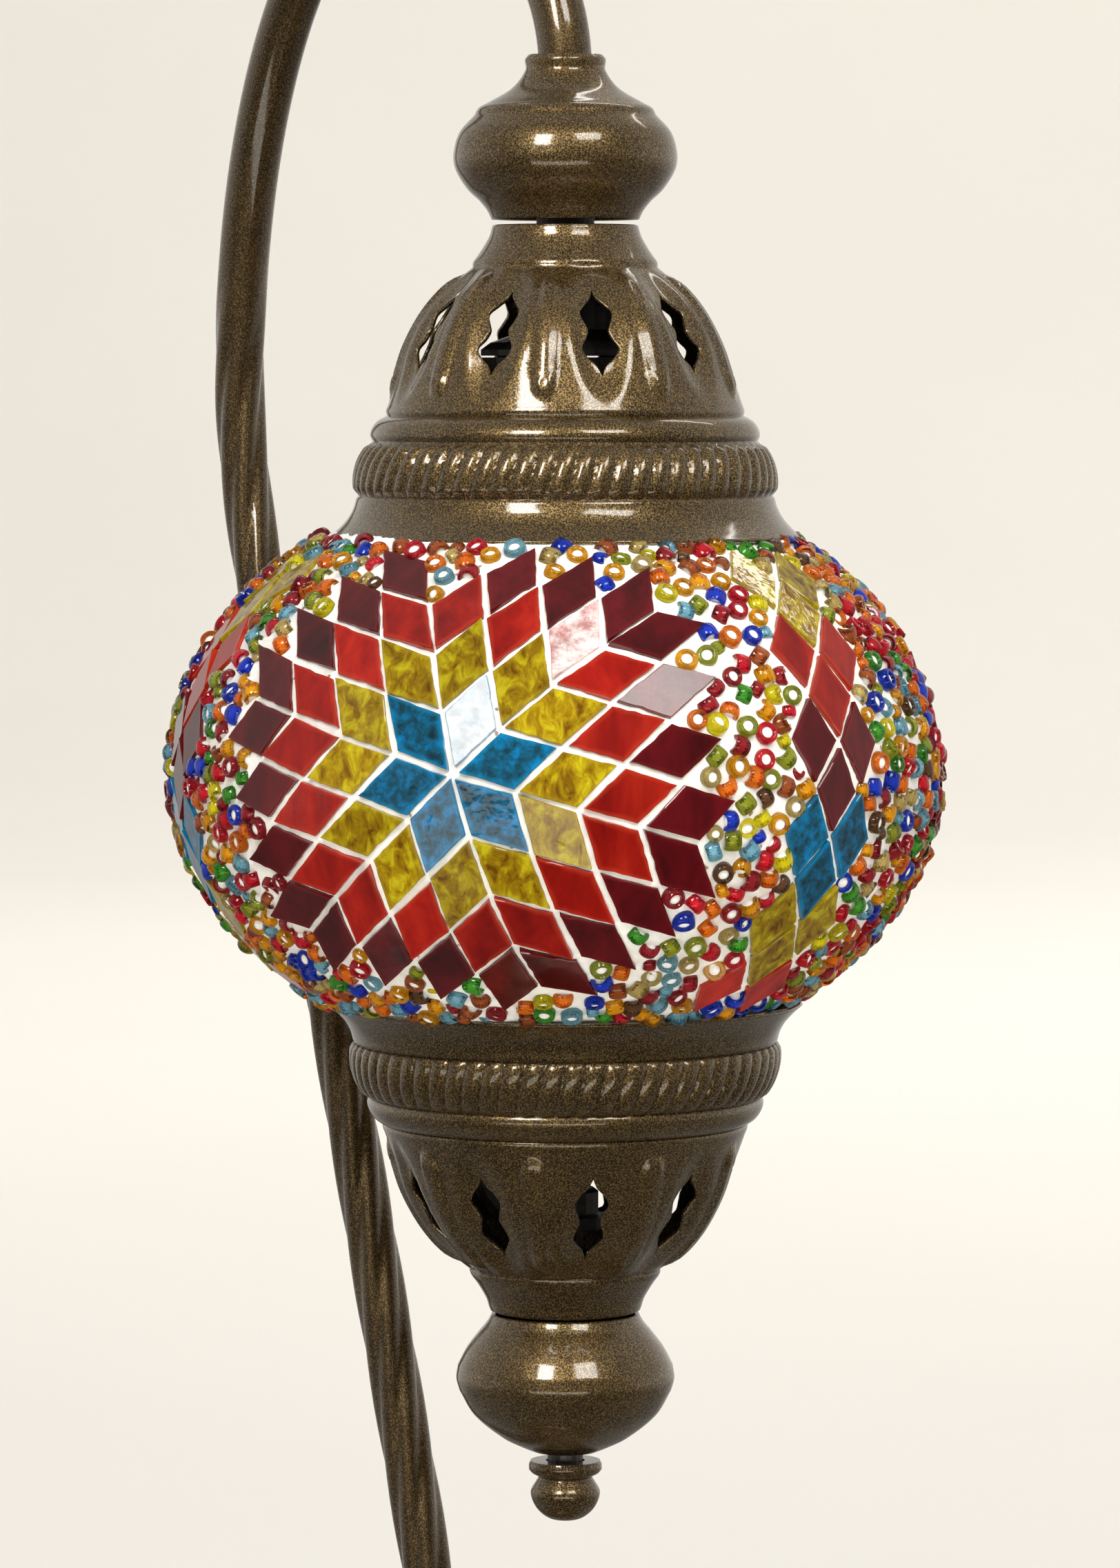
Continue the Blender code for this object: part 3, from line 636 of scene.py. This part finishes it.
def base(bronze):
    """The base's skin, from its foot to its neck, and the collar above it."""
    low, high = box_mm("base_shell")
    high = high.z
    rise = [
        [(low.z, 67.9), (low.z + 2.4, 67.8), (6.5, 66.0), (10.0, 62.8)],
        [(10.0, 62.8), (13.5, 63.3), (16.0, 62.0), (18.4, 59.8)],
        [(18.4, 59.8), (20.4, 59.2), (22.6, 57.0), (24.4, 53.0)],
        [(24.4, 53.0), (28.0, 49.6), (32.0, 44.5), (36.0, 37.6), (38.8, 31.0), (41.4, 23.0), (43.0, 17.2)],
        [(43.0, 17.2), (44.6, 16.4), (46.2, 14.9), (48.4, 13.2), (high - 0.2, 12.6)],
        [(high - 0.2, 12.6), (high, 12.3), (high, 5.0)],
    ]
    turned_piece("base_skin", profile(rise, 0.9), bronze, "stand", "base_shell", 0.0, 6 * BASE_RIBS, True,
                 base_relief, 50)
    foot, top = box_mm("arm_foot_collar")
    foot, top = foot.z, top.z
    ring = [
        raised(foot, (0, 11.4), (0.6, 12.0), (1.6, 12.1), (2.4, 11.3)),
        raised(foot, (2.4, 11.3), (3.2, 9.4), (5.0, 8.0)),
        raised(foot, (5.0, 8.0), (6.2, 8.3), (7.4, 7.9)),
        raised(foot, (7.4, 7.9)) + [(top - 0.4, 6.9), (top, 6.2)],
    ]
    outline = np.concatenate([[(foot, 4.9)], profile(ring, 0.3), [(top, 4.9)]])
    turned_piece("arm_collar", outline, bronze, "stand", "arm_foot_collar", 0.0, 80)


def arm_line(step):
    """The arm's centreline, with points about one step apart."""
    path = []
    for start, finish in zip(ARM_KNOTS, ARM_KNOTS[1:]):
        ends = []
        for reach, height, lean, _, _ in (start, finish):
            angle = math.radians(lean)
            heading = np.array((-math.sin(angle), 0, math.cos(angle)))
            ends.append((np.array((AXIS_X - reach, 0, height)), heading))
        (first, leaving), (last, arriving) = ends
        count = max(3, int(np.linalg.norm(last - first) / step) + 2)
        stretch = cubic(first, first + leaving * start[4], last - arriving * finish[3], last, count)
        path.append(stretch[1 if path else 0:])
    return np.concatenate(path)


def arm(bronze):
    """A round tube with six long twisted flutes, smooth over the arch."""
    sides, lobes, depth, pitch = 60, 6, 0.7, 120.0
    path = arm_line(1.6)
    along = np.gradient(path, axis=0)
    along /= np.linalg.norm(along, axis=1)[:, None]
    side = np.array((0.0, 1.0, 0.0))
    across = np.cross(along, side)
    run = np.concatenate([[0.0], np.cumsum(np.linalg.norm(np.diff(path, axis=0), axis=1))])
    fluted = ease(path[:, 2], 62.0, 74.0) * (1 - ease(run, 285.0, 320.0))
    turns = np.arange(sides) * 2 * math.pi / sides
    outside = []
    inside = []
    for k, centre in enumerate(path):
        groove = 1 - lobe(lobes * (turns / (2 * math.pi) + run[k] / pitch), 2.0)
        radius = ARM_RADIUS - depth * fluted[k] * groove
        for rings, reach in ((outside, radius), (inside, ARM_BORE + 0 * radius)):
            sideways = np.outer(reach * np.cos(turns), across[k])
            rings.append(centre + sideways + np.outer(reach * np.sin(turns), side))
    points = np.concatenate(outside + inside[::-1])
    faces = tube_faces(2 * len(path), sides)
    add_piece("swan_neck_tube", points, faces, bronze, "stand", ["swan_neck_arm"])


# The globe


class Globe:
    """The globe's outer surface, by longitude and by arc length up from the equator."""

    def __init__(self, radius, half):
        self.radius = radius
        self.half = half
        self.turns = np.linspace(-1.3, 1.3, 521)
        speed = np.hypot(radius * np.sin(self.turns), half * np.cos(self.turns))
        arcs = np.concatenate([[0.0], np.cumsum((speed[1:] + speed[:-1]) / 2 * np.diff(self.turns))])
        self.arcs = arcs - arcs[len(arcs) // 2]
        aside = math.radians(FACING + 90)
        east, north = GLOBE_SHIFT * math.cos(aside), GLOBE_SHIFT * math.sin(aside)
        self.centre = np.array((AXIS_X - east, -north, EQUATOR))

    def ring(self, arc):
        """The radius of the parallel at an arc length."""
        return self.radius * np.cos(np.interp(arc, self.arcs, self.turns))

    def arc_of_height(self, height):
        """The arc length at a height over the equator."""
        return float(np.interp(math.asin(height / self.half), self.turns, self.arcs))

    def point(self, longitude, arc, along=0.0, lift=0.0):
        """The point at that place, moved along the parallel by an arc length and out by lift."""
        turn = np.interp(arc, self.arcs, self.turns)
        ring = self.radius * np.cos(turn)
        angle = np.radians(longitude) + along / ring
        height = self.half * np.sin(turn) + 0 * angle
        spot = np.stack([ring * np.cos(angle), ring * np.sin(angle), height], axis=-1)
        return spot + self.normal(spot) * np.asarray(lift)[..., None] + self.centre

    def normal(self, spot):
        """The outward direction at a point given from the globe's centre."""
        across = spot / (self.radius**2, self.radius**2, self.half**2)
        return across / np.linalg.norm(across, axis=-1, keepdims=True)


GLOBE = Globe(GLOBE_RADIUS, GLOBE_HALF)


def star_plan():
    """(colour, corners) of a star's tiles in its own flat plan: rings of 6, 12, 18 and 24 rhombi."""
    plan = []
    for wedge in range(6):
        left, right = [
            np.array((math.cos(angle), math.sin(angle))) * STAR_PITCH
            for angle in (math.radians(STAR_TURN + 60 * wedge + step) for step in (30, -30))
        ]
        for ring, colour in enumerate(STAR_COLOURS):
            for k in range(ring + 1):
                low = np.array((0.0, STAR_ARC)) + right * (ring - k) + left * k
                plan.append((colour, np.array([low, low + right, low + right + left, low + left])))
    return plan


def band_plan():
    """(colour, corners) of an upright band: three columns of rhombi, the middle one half a tile lower."""
    columns = [
        (-1, 38.5, ["yellow", "red", "maroon", "blue", "yellow", "red"]),
        (0, 46.3, ["blue", "yellow", "red", "maroon", "blue", "yellow"]),
        (1, 38.5, ["yellow", "red", "maroon", "blue", "yellow", "red"]),
    ]
    plan = []
    half = BAND_PITCH / 2
    lean = flat_turn(math.radians(BAND_LEAN))
    for column, top, colours in columns:
        for row, colour in enumerate(colours):
            x = column * BAND_COLUMN
            y = top - BAND_PITCH * row
            corners = [(x, y - half), (x + BAND_COLUMN, y), (x, y + half), (x - BAND_COLUMN, y)]
            plan.append((colour, np.array(corners) @ lean))
    return plan


def inset(corners, gap):
    """A convex polygon's corners moved in so that each side moves by gap. It runs anticlockwise."""
    moved = []
    for k in range(len(corners)):
        before, here, after = corners[k - 1], corners[k], corners[(k + 1) % len(corners)]
        first = (here - before) / np.linalg.norm(here - before)
        second = (after - here) / np.linalg.norm(after - here)
        sine = first[0] * second[1] - first[1] * second[0]
        moved.append(here + gap * (second - first) / sine)
    return np.array(moved)


class Tiles:
    """Collects flat tiles of one colour into one mesh."""

    def __init__(self):
        self.points = []
        self.faces = []
        self.tint = []
        self.edge = []
        self.haze = []

    def add(self, outline, spot, tint, haze):
        """outline is an anticlockwise polygon in the tile's plane, and spot its 4x4 place."""
        start = len(self.points)
        count = len(outline)
        middle = outline.mean(0)
        for shrink, height, edge in TILE_RINGS:
            away = outline - middle
            reach = np.linalg.norm(away, axis=1)[:, None]
            flat = middle + away * (1 - shrink / reach)
            for x, y in flat:
                self.points.append(spot @ Vector((x, y, height)))
                self.tint.append(tint)
                self.edge.append(edge)
                self.haze.append(haze)
        self.faces += [tuple(start + k for k in face) for face in grid_faces(len(TILE_RINGS), count)]
        last = start + (len(TILE_RINGS) - 1) * count
        self.faces.append(tuple(last + k for k in range(count)))
        self.faces.append(tuple(start + k for k in reversed(range(count))))


def tile_outline(corners, rng):
    """The cut tile: its sides a little ragged."""
    points = []
    steps = 7
    for k in range(len(corners)):
        start, finish = corners[k], corners[(k + 1) % len(corners)]
        side = (finish - start) / np.linalg.norm(finish - start)
        out = np.array((side[1], -side[0]))
        for n in range(steps):
            rag = 0.0 if n == 0 else rng.gauss(0, 0.055)
            points.append(start + (finish - start) * n / steps + out * rag)
    return np.array(points)


def lay_tiles():
    """Every tile of the stars and the bands, as meshes by colour and as plans for the beads to avoid."""
    rng = random.Random(7)
    meshes = {colour: Tiles() for colour in STAR_COLOURS}
    plans = []
    for figure, (star, band) in enumerate(zip(STAR_PLACES, BAND_PLACES)):
        for longitude, plan in ((STAR_LONGITUDE + star, star_plan()), (STAR_LONGITUDE + band, band_plan())):
            laid = []
            for index, (colour, corners) in enumerate(plan):
                if abs(corners[:, 1]).max() > MOSAIC_REACH:
                    continue
                laid.append(corners)
                cut = inset(corners, GROUT_LINE / 2 + rng.uniform(-0.12, 0.16))
                middle = cut.mean(0)
                spin = flat_turn(math.radians(rng.gauss(0, 1.3)))
                cut = (cut - middle) @ spin.T + middle
                cut += [[rng.gauss(0, 0.13), rng.gauss(0, 0.13)] for _ in cut]
                on_globe = GLOBE.point(longitude, cut[:, 1], cut[:, 0])
                spot = tile_spot(on_globe, rng)
                flat = np.array([(spot.inverted() @ Vector(p))[:2] for p in on_globe])
                tint = rng.uniform(0.75, 1.2)
                haze = max(0.0, rng.gauss(-0.03, 0.03))
                if figure == 0 and len(plan) == STAR_TILES:
                    haze = HAZY_TILES.get(index, haze)
                meshes[colour].add(tile_outline(flat, rng), spot, tint, haze)
            plans.append((longitude, laid))
    return meshes, plans


def tile_spot(corners, rng):
    """A frame on the plane through a tile's corners, a little out of true."""
    origin = Vector(corners.mean(0))
    first, second = Vector(corners[2]) - Vector(corners[0]), Vector(corners[3]) - Vector(corners[1])
    normal = first.cross(second).normalized()
    normal = (normal + Vector([rng.gauss(0, 0.012) for _ in range(3)])).normalized()
    across = (Vector(corners[1]) - Vector(corners[0])).normalized()
    up = normal.cross(across).normalized()
    across = up.cross(normal)
    origin += normal * TILE_LIFT
    spot = Matrix((across, up, normal)).transposed().to_4x4()
    spot.translation = origin
    return spot


def mosaic_tiles():
    """The cut tiles, as one piece for each colour. Returns their plans."""
    meshes, plans = lay_tiles()
    stands_for = {
        "red": [f"star_inlay_{k + 1}" for k in range(FIGURE_COUNT)],
        "blue": [f"band_inlay_{k + 1}" for k in range(FIGURE_COUNT)],
    }
    for colour, tiles in meshes.items():
        mesh = bpy.data.meshes.new(colour + "_tiles")
        mesh.from_pydata([tuple(Vector(p) * MM) for p in tiles.points], [], tiles.faces)
        for name, values in (("tile_tint", tiles.tint), ("tile_edge_light", tiles.edge), ("tile_haze", tiles.haze)):
            mesh.attributes.new(name, "FLOAT", "POINT").data.foreach_set("value", values)
        finish_piece(colour + "_tiles", mesh, tile_material(colour), "stand",
                     stands_for.get(colour, ()), 30)
    return plans


# Beads

BEAD_COLOURS = {  # share of the beads, the colour they show, and the record slot they come under
    "amber": (15, (240, 136, 2), "yellow_glass"),
    "orange": (13, (242, 84, 4), "yellow_glass"),
    "red": (13, (200, 6, 16), "red_glass"),
    "dark_red": (11, (132, 8, 14), "maroon_glass"),
    "brown": (8, (140, 48, 12), "maroon_glass"),
    "yellow": (6, (230, 208, 4), "yellow_glass"),
    "pale_gold": (6, (190, 156, 70), "yellow_glass"),
    "green": (7, (36, 132, 16), "blue_glass"),
    "olive": (7, (122, 132, 12), "yellow_glass"),
    "steel_blue": (13, (86, 158, 192), "blue_glass"),
    "cobalt": (10, (6, 28, 196), "blue_glass"),
    "smoky": (4, (70, 36, 14), "maroon_glass"),
}
BEAD_CLEARNESS = 0.65  # light goes through a bead and back, so its own colour is paler than the one it shows
BEAD_BORE = 0.8  # radius
BEAD_OUTER = 1.85
BEAD_HALF = 1.35  # half its length
BEAD_PASSES = [(1.0, 130000), (0.87, 90000), (0.74, 70000)]  # size, and places tried, the largest first
BEAD_CELL = 4  # side of the cubes that sort the beads, wider than any two neighbours' reach
FIGURE_REACH = 62  # no tile is further than this from its figure's middle, along the parallel
CAP_REACH = CAP_STRETCHES[0][0][1] + 1.4  # beads up beside a cap's rim stay this far from the caps' axis
BEAD_KINDS = {  # share of the beads, their least and greatest tilt from lying flat, and the room they need
    "flat": (30, 0, 14, 1.8),
    "tipped": (22, 14, 50, 1.66),
    "on_side": (48, 74, 90, 1.5),
}


def tile_distance(spots, corners):
    """How far each flat point is outside a convex polygon, and below 0 inside it."""
    far = np.full(len(spots), -1e9)
    for k in range(len(corners)):
        side = corners[(k + 1) % len(corners)] - corners[k]
        out = np.array((side[1], -side[0])) / np.linalg.norm(side)
        far = np.maximum(far, (spots - corners[k]) @ out)
    return far


def clear_of_tiles(longitudes, arcs, plans):
    """For each place, its distance from the nearest tile."""
    nearest = np.full(len(arcs), 1e9)
    ring = GLOBE.ring(arcs)
    for longitude, laid in plans:
        turn = (longitudes - longitude + 180) % 360 - 180
        spots = np.stack([np.radians(turn) * ring, arcs], axis=1)
        near = abs(spots[:, 0]) < FIGURE_REACH
        for corners in laid:
            nearest[near] = np.minimum(nearest[near], tile_distance(spots[near], corners))
    return nearest


def scatter_beads(plans):
    """Places for beads between the tiles, packed as closely as they go: (point, size, kind) for each."""
    rng = random.Random(21)
    reach = GLOBE.arc_of_height(GLOBE_EDGE + 0.5)
    beside_rim = GLOBE.arc_of_height(GLOBE_EDGE - 0.7)
    placed = []
    cells = {}
    kinds = list(BEAD_KINDS)
    shares = [BEAD_KINDS[kind][0] for kind in kinds]
    for size, tries in BEAD_PASSES:
        longitudes = np.array([rng.uniform(0, 360) for _ in range(tries)])
        arcs = np.array([rng.uniform(-reach, reach) for _ in range(tries)])
        thin = np.array([rng.random() for _ in range(tries)]) < GLOBE.ring(arcs) / GLOBE.radius
        room = clear_of_tiles(longitudes, arcs, plans)
        spots = GLOBE.point(longitudes, arcs)
        clear = (abs(arcs) < beside_rim) | (np.hypot(spots[:, 0] - AXIS_X, spots[:, 1]) > CAP_REACH)
        for x, y, z in spots[thin & clear & (room > 1.1 * size)].tolist():
            scale = size * rng.uniform(0.94, 1.06)
            kind = rng.choices(kinds, shares)[0]
            i, j, k = (int(value // BEAD_CELL) for value in (x, y, z))
            near = (
                other
                for di in (-1, 0, 1) for dj in (-1, 0, 1) for dk in (-1, 0, 1)
                for other in cells.get((i + di, j + dj, k + dk), ())
            )
            gap = BEAD_KINDS[kind][3] * scale
            if all((x - u) ** 2 + (y - v) ** 2 + (z - w) ** 2 > (gap + other_gap) ** 2
                   for u, v, w, other_gap in near):
                cells.setdefault((i, j, k), []).append((x, y, z, gap))
                placed.append((np.array((x, y, z)), scale, kind))
    return placed


def bead_template():
    """A seed bead about Z: a short tube with rounded walls and a narrow bore."""
    columns, rows = 18, 10
    bore, outer, half = BEAD_BORE, BEAD_OUTER, BEAD_HALF
    turns = np.linspace(0, 2 * math.pi, rows, endpoint=False)
    power = 0.8
    wide = np.sign(np.cos(turns)) * np.abs(np.cos(turns)) ** power
    tall = np.sign(np.sin(turns)) * np.abs(np.sin(turns)) ** power
    outline = np.stack([half * tall, (outer + bore) / 2 + (outer - bore) / 2 * wide], axis=1)
    points, _ = revolve(outline, columns)
    return points, tube_faces(rows, columns)


def bead_spot(spot, scale, kind, rng):
    """The bead's place, its outward direction and its tilt."""
    normal = Vector(GLOBE.normal(spot - GLOBE.centre))
    east = Vector((-normal.y, normal.x, 0)).normalized()
    tilt = rng.uniform(*BEAD_KINDS[kind][1:3])
    turn = Matrix.Rotation(math.radians(rng.uniform(0, 360)), 4, normal)
    tip = Matrix.Rotation(math.radians(tilt), 4, east)
    upright = normal.to_track_quat("Z", "Y").to_matrix().to_4x4()
    sink = 0.6 if kind == "tipped" and rng.random() < 0.4 else 0.0  # plaster covers one side of some
    lift = -0.45 - 0.3 * math.sin(math.radians(tilt)) + rng.uniform(-0.25, 0.15) - sink
    place = Matrix.Translation(Vector(spot) + normal * lift)
    stretch = Matrix.Diagonal((scale, scale, scale * rng.uniform(0.85, 1.15), 1))
    return place @ turn @ tip @ upright @ stretch, normal, tilt


def plug_mesh(places):
    """The plaster in the beads' bores."""
    sides = 12
    outline = [(-BEAD_HALF * 0.6, 0.0), (-BEAD_HALF * 0.6, 1.0),
               (BEAD_HALF - 0.55, 1.0), (BEAD_HALF - 0.4, 0.6), (BEAD_HALF - 0.36, 0.0)]
    template, faces = revolve(outline, sides)
    template[:, :2] *= BEAD_BORE + 0.06
    return copies(template, np.array(faces), [place for place, _, _ in places])


def beads(plans):
    """All the beads, as one piece for each colour. Returns their places for the grout."""
    rng = random.Random(5)
    placed = scatter_beads(plans)
    template, faces = bead_template()
    faces = np.array(faces)
    names = list(BEAD_COLOURS)
    weights = [BEAD_COLOURS[name][0] for name in names]
    groups = {name: [] for name in names}
    places = []
    for spot, scale, kind in placed:
        place = bead_spot(spot, scale, kind, rng)
        places.append(place)
        groups[rng.choices(names, weights)[0]].append(place)
    glass = bead_material()
    for name, members in groups.items():
        points, every = copies(template, faces, [place for place, _, _ in members])
        mesh = bpy.data.meshes.new(name + "_beads")
        mesh.from_pydata((points * MM).tolist(), [], every.tolist())
        normals = np.zeros(len(mesh.vertices) * 3, np.float32)
        mesh.vertex_normals.foreach_get("vector", normals)
        outward = np.repeat([tuple(normal) for _, normal, _ in members], len(template), axis=0)
        # Painted shade: points of a bead that face sideways or inward, away from the globe's outside, are
        # darkened to 0.55 of its colour, for the dark rim of lit glass.
        facing = (normals.reshape(-1, 3) * outward).sum(1)
        depth = 0.55 + 0.45 * ease(facing, 0.1, 0.85)[:, None]
        shown = np.array(display(*BEAD_COLOURS[name][1])) ** BEAD_CLEARNESS * depth
        own = np.repeat([rng.uniform(0.85, 1.15) for _ in members], len(template))[:, None]
        colour = np.concatenate([np.clip(shown * own, 0, 1), np.ones((len(own), 1))], axis=1)
        layer = mesh.color_attributes.new("bead_colour_and_shade", "FLOAT_COLOR", "POINT")
        layer.data.foreach_set("color", colour.astype(np.float32).ravel())
        finish_piece(name + "_beads", mesh, glass, "stand", (), 60)
    return placed, plug_mesh(places)


def grout(placed, plugs):
    """The plaster between the tiles, uneven, and drawn up round each bead."""
    columns, rows = 460, 96
    reach = GLOBE.arc_of_height(GLOBE_EDGE + 1.0)
    longitudes = np.tile(np.arange(columns) * 360 / columns, rows)
    arcs = np.repeat(np.linspace(-reach, reach, rows), columns)
    spots = GLOBE.point(longitudes, arcs)
    tree = kdtree.KDTree(len(placed))
    for k, (spot, _, _) in enumerate(placed):
        tree.insert(spot, k)
    tree.balance()
    near = np.array([tree.find(spot)[2] for spot in spots])
    drawn_up = 0.2 * np.exp(-((near - 1.7) / 0.5) ** 2)
    lift = GROUT_LEVEL + waviness(spots, 3.0, 0.22) + waviness(spots, 1.1, 0.1) + drawn_up
    outer = GLOBE.point(longitudes, arcs, 0.0, lift)
    inner = GLOBE.point(longitudes, arcs, 0.0, GROUT_BACK)
    points = np.concatenate([outer, inner.reshape(rows, columns, 3)[::-1].reshape(-1, 3)])
    faces = tube_faces(2 * rows, columns)
    plug_points, plug_faces = plugs
    faces += [tuple(face) for face in (plug_faces + len(points)).tolist()]
    points = np.concatenate([points, plug_points])
    add_piece("plaster_grout", points, faces, grout_material(), "stand", ["grout_layer"])


# Carried-over CAD nodes


SLOT_LOOKS = {  # finish, darker and lighter colour, roughness, metallic, grain per metre, its height, more
    "steel": ("dull_steel", (0.12, 0.115, 0.11), (0.24, 0.235, 0.22), 0.5, 1.0, 500, 0.02, {}),
    "cast_iron": ("cast_iron", (0.03, 0.03, 0.032), (0.09, 0.088, 0.085), 0.75, 0.6, 600, 0.2, {}),
    "felt": ("wool_felt", (0.012, 0.03, 0.018), (0.04, 0.075, 0.05), 0.9, 0.0, 1400, 0.3,
             {"Sheen Weight": 0.4}),
    "rubber": ("rubber", (0.018, 0.018, 0.018), (0.035, 0.035, 0.034), 0.7, 0.0, 1200, 0.02, {}),
    "black_plastic": ("bakelite", (0.012, 0.01, 0.009), (0.028, 0.024, 0.022), 0.3, 0.0, 900, 0.02, {}),
    "white_plastic": ("white_plastic", (0.7, 0.69, 0.64), (0.8, 0.79, 0.75), 0.45, 0.0, 900, 0.02, {}),
    "brass": ("brass", (0.6, 0.4, 0.14), (0.8, 0.58, 0.26), 0.28, 1.0, 700, 0.02, {}),
    "clear_glass": ("blown_glass", (0.9, 0.92, 0.9), (0.96, 0.97, 0.95), 0.06, 0.0, 60, 0.05,
                    {"Transmission Weight": 0.9}),
    "opal_glass": ("opal_glass", (0.86, 0.85, 0.8), (0.93, 0.92, 0.88), 0.25, 0.0, 80, 0.02,
                   {"Coat Weight": 0.5}),
}


def slot_materials():
    """A finish for each slot whose CAD nodes stay as they are."""
    looks = {"antique_bronze": bronze_material("speckled_bronze", 0.9)}
    looks.update((slot, plain_material(*look)) for slot, look in SLOT_LOOKS.items())
    return looks


def dress_nodes(looks):
    """Gives each CAD node that still shows its slot's finish."""
    slots = {row["node"]: row["material_slot"] for row in frame["record"]["subparts"]}
    for node, obj in frame["nodes"].items():
        if not obj.hide_render:
            obj.data.materials.clear()
            obj.data.materials.append(looks[slots[node]])


# Studio


def stage():
    """A pale floor that sweeps up all round."""
    outline = np.concatenate([
        [(0.0, 0.0), (0.0, 1500.0), (0.0, 3200.0)],
        cubic((0.0, 3200.0), (0.0, 4200.0), (500.0, 4800.0), (1500.0, 4900.0), 16)[1:],
        [(2600.0, 4950.0)],
    ])
    points, faces = revolve(outline, 96)
    mesh = welded_mesh("sweep", points, faces, 1e-5)
    mesh.shade_smooth()
    material, tree, shader = new_material("pale_sweep")
    paper = ramp_node(tree, noise_node(tree, 3, 2), [(0.3, (0.86, 0.84, 0.8)), (0.7, (0.88, 0.86, 0.82))])
    wire(shader, {"Base Color": paper, "Roughness": 0.9})
    mesh.materials.append(material)
    floor = bpy.data.objects.new("sweep", mesh)
    bpy.context.scene.collection.objects.link(floor)
    floor.visible_glossy = False


def toward(azimuth, distance, height):
    """A point that distance from the globe's axis, with azimuth counted as the camera's is, in metres."""
    angle = math.radians(azimuth)
    return Vector((AXIS_X * MM + distance * math.sin(angle), -distance * math.cos(angle), height))


VIEW = FACING + 90  # the camera's azimuth
LEVEL = EQUATOR * MM
LIGHTS = [  # name, bearing from the camera's, distance, height, width, depth, power, colour, shows in glossy
    ("key", 20, 0.98, LEVEL + 0.9, 1.4, 1.0, 17, (1.0, 0.985, 0.96), False),
    ("softbox", 27, 0.9, LEVEL + 0.8, 0.46, 0.3, 3.8, (1.0, 0.985, 0.95), True),
    ("window", -25, 0.98, LEVEL + 0.7, 0.32, 0.4, 6.5, (1.0, 0.99, 0.97), True),
    ("table", -6, 0.6, 0.03, 0.7, 0.14, 0.62, (1.0, 0.96, 0.9), True),
    ("backdrop", 158, 1.8, 2.6, 2.8, 1.2, 86, (1.0, 0.97, 0.92), True),
]
BACKDROP_AIM = (172, 4.1, 0.45)  # the part of the sweep behind the lamp
WORLD_TINT = (1.0, 0.965, 0.9)


def aimed(name, data, place, target):
    """A light or camera at a place, looking at a target."""
    obj = bpy.data.objects.new(name, data)
    obj.location = place
    obj.rotation_mode = "QUATERNION"
    obj.rotation_quaternion = (place - target).to_track_quat("Z", "Y")
    bpy.context.scene.collection.objects.link(obj)
    return obj


def area_lights():
    """Soft lights that the camera doesn't see. All but the backdrop's are aimed at the globe."""
    globe = Vector((AXIS_X * MM, 0, LEVEL))
    bearing, distance, height = BACKDROP_AIM
    behind = toward(VIEW + bearing, distance, height)
    for name, bearing, distance, height, width, depth, power, colour, reflected in LIGHTS:
        light = bpy.data.lights.new(name, "AREA")
        light.shape = "RECTANGLE"
        light.size = width
        light.size_y = depth
        light.energy = power
        light.color = colour
        aim = behind if name == "backdrop" else globe
        obj = aimed(name, light, toward(VIEW + bearing, distance, height), aim)
        obj.visible_glossy = reflected
        obj.visible_camera = False


def surroundings():
    """A dim, warm world: brightest at eye level and behind the lamp."""
    world = bpy.data.worlds.new("studio")
    bpy.context.scene.world = world
    world.use_nodes = True
    tree = world.node_tree
    background = tree.nodes["Background"]
    direction = made(tree, "TexCoord", {}, "Generated")
    height = ramp_node(tree, range_node(tree, made(tree, "SeparateXYZ", {"Vector": direction}, "Z")),
                       [(0.3, 0.14), (0.5, 0.5), (0.66, 0.42), (1.0, 0.3)])
    front = tree.nodes.new("ShaderNodeVectorMath")
    front.operation = "DOT_PRODUCT"
    wire(front, {0: direction, 1: (math.sin(math.radians(VIEW)), -math.cos(math.radians(VIEW)), 0)})
    side = ramp_node(tree, range_node(tree, front.outputs["Value"]),
                     [(0.0, 1.0), (0.5, 0.7), (0.75, 0.22), (1.0, 0.12)])
    strength = mix_node(tree, 1.0, height, side, "MULTIPLY")
    wire(background, {"Color": mix_node(tree, 1.0, strength, WORLD_TINT, "MULTIPLY"), "Strength": 1.5})
    bpy.context.scene.view_settings.view_transform = "Standard"


CAMERA_DISTANCE = 1.1
CAMERA_RISE = 67.0  # over the globe's equator
AIM_DROP = 2.6  # the camera looks this far below the equator
AIM_ASIDE = -0.0009  # and this far to one side of the caps' axis, in metres


def camera():
    """The camera, at the front and a little above the globe."""
    data = bpy.data.cameras.new("camera")
    data.lens = 150
    data.sensor_width = 36
    data.clip_start = 0.05
    data.clip_end = 50
    sideways = Vector((math.cos(math.radians(VIEW)), math.sin(math.radians(VIEW)), 0))
    target = Vector((AXIS_X, 0, EQUATOR - AIM_DROP)) * MM + sideways * AIM_ASIDE
    place = toward(VIEW, CAMERA_DISTANCE, (EQUATOR + CAMERA_RISE) * MM)
    bpy.context.scene.camera = aimed("camera", data, place, target)


def main():
    """Builds every piece, then what the render needs."""
    looks = slot_materials()
    bronze = looks["antique_bronze"]
    cap("pierced_upper_cap", UPPER_RIM, 1, UPPER_TURN, "stand", 5.2, bronze)
    cap("pierced_lower_cap", LOWER_RIM, -1, LOWER_TURN, "lower_cap", 3.3, bronze)
    hanger(bronze)
    finial(bronze)
    base(bronze)
    arm(bronze_material("arm_bronze", 0.55))
    grout(*beads(mosaic_tiles()))
    dress_nodes(looks)
    stage()
    area_lights()
    surroundings()
    camera()


main()
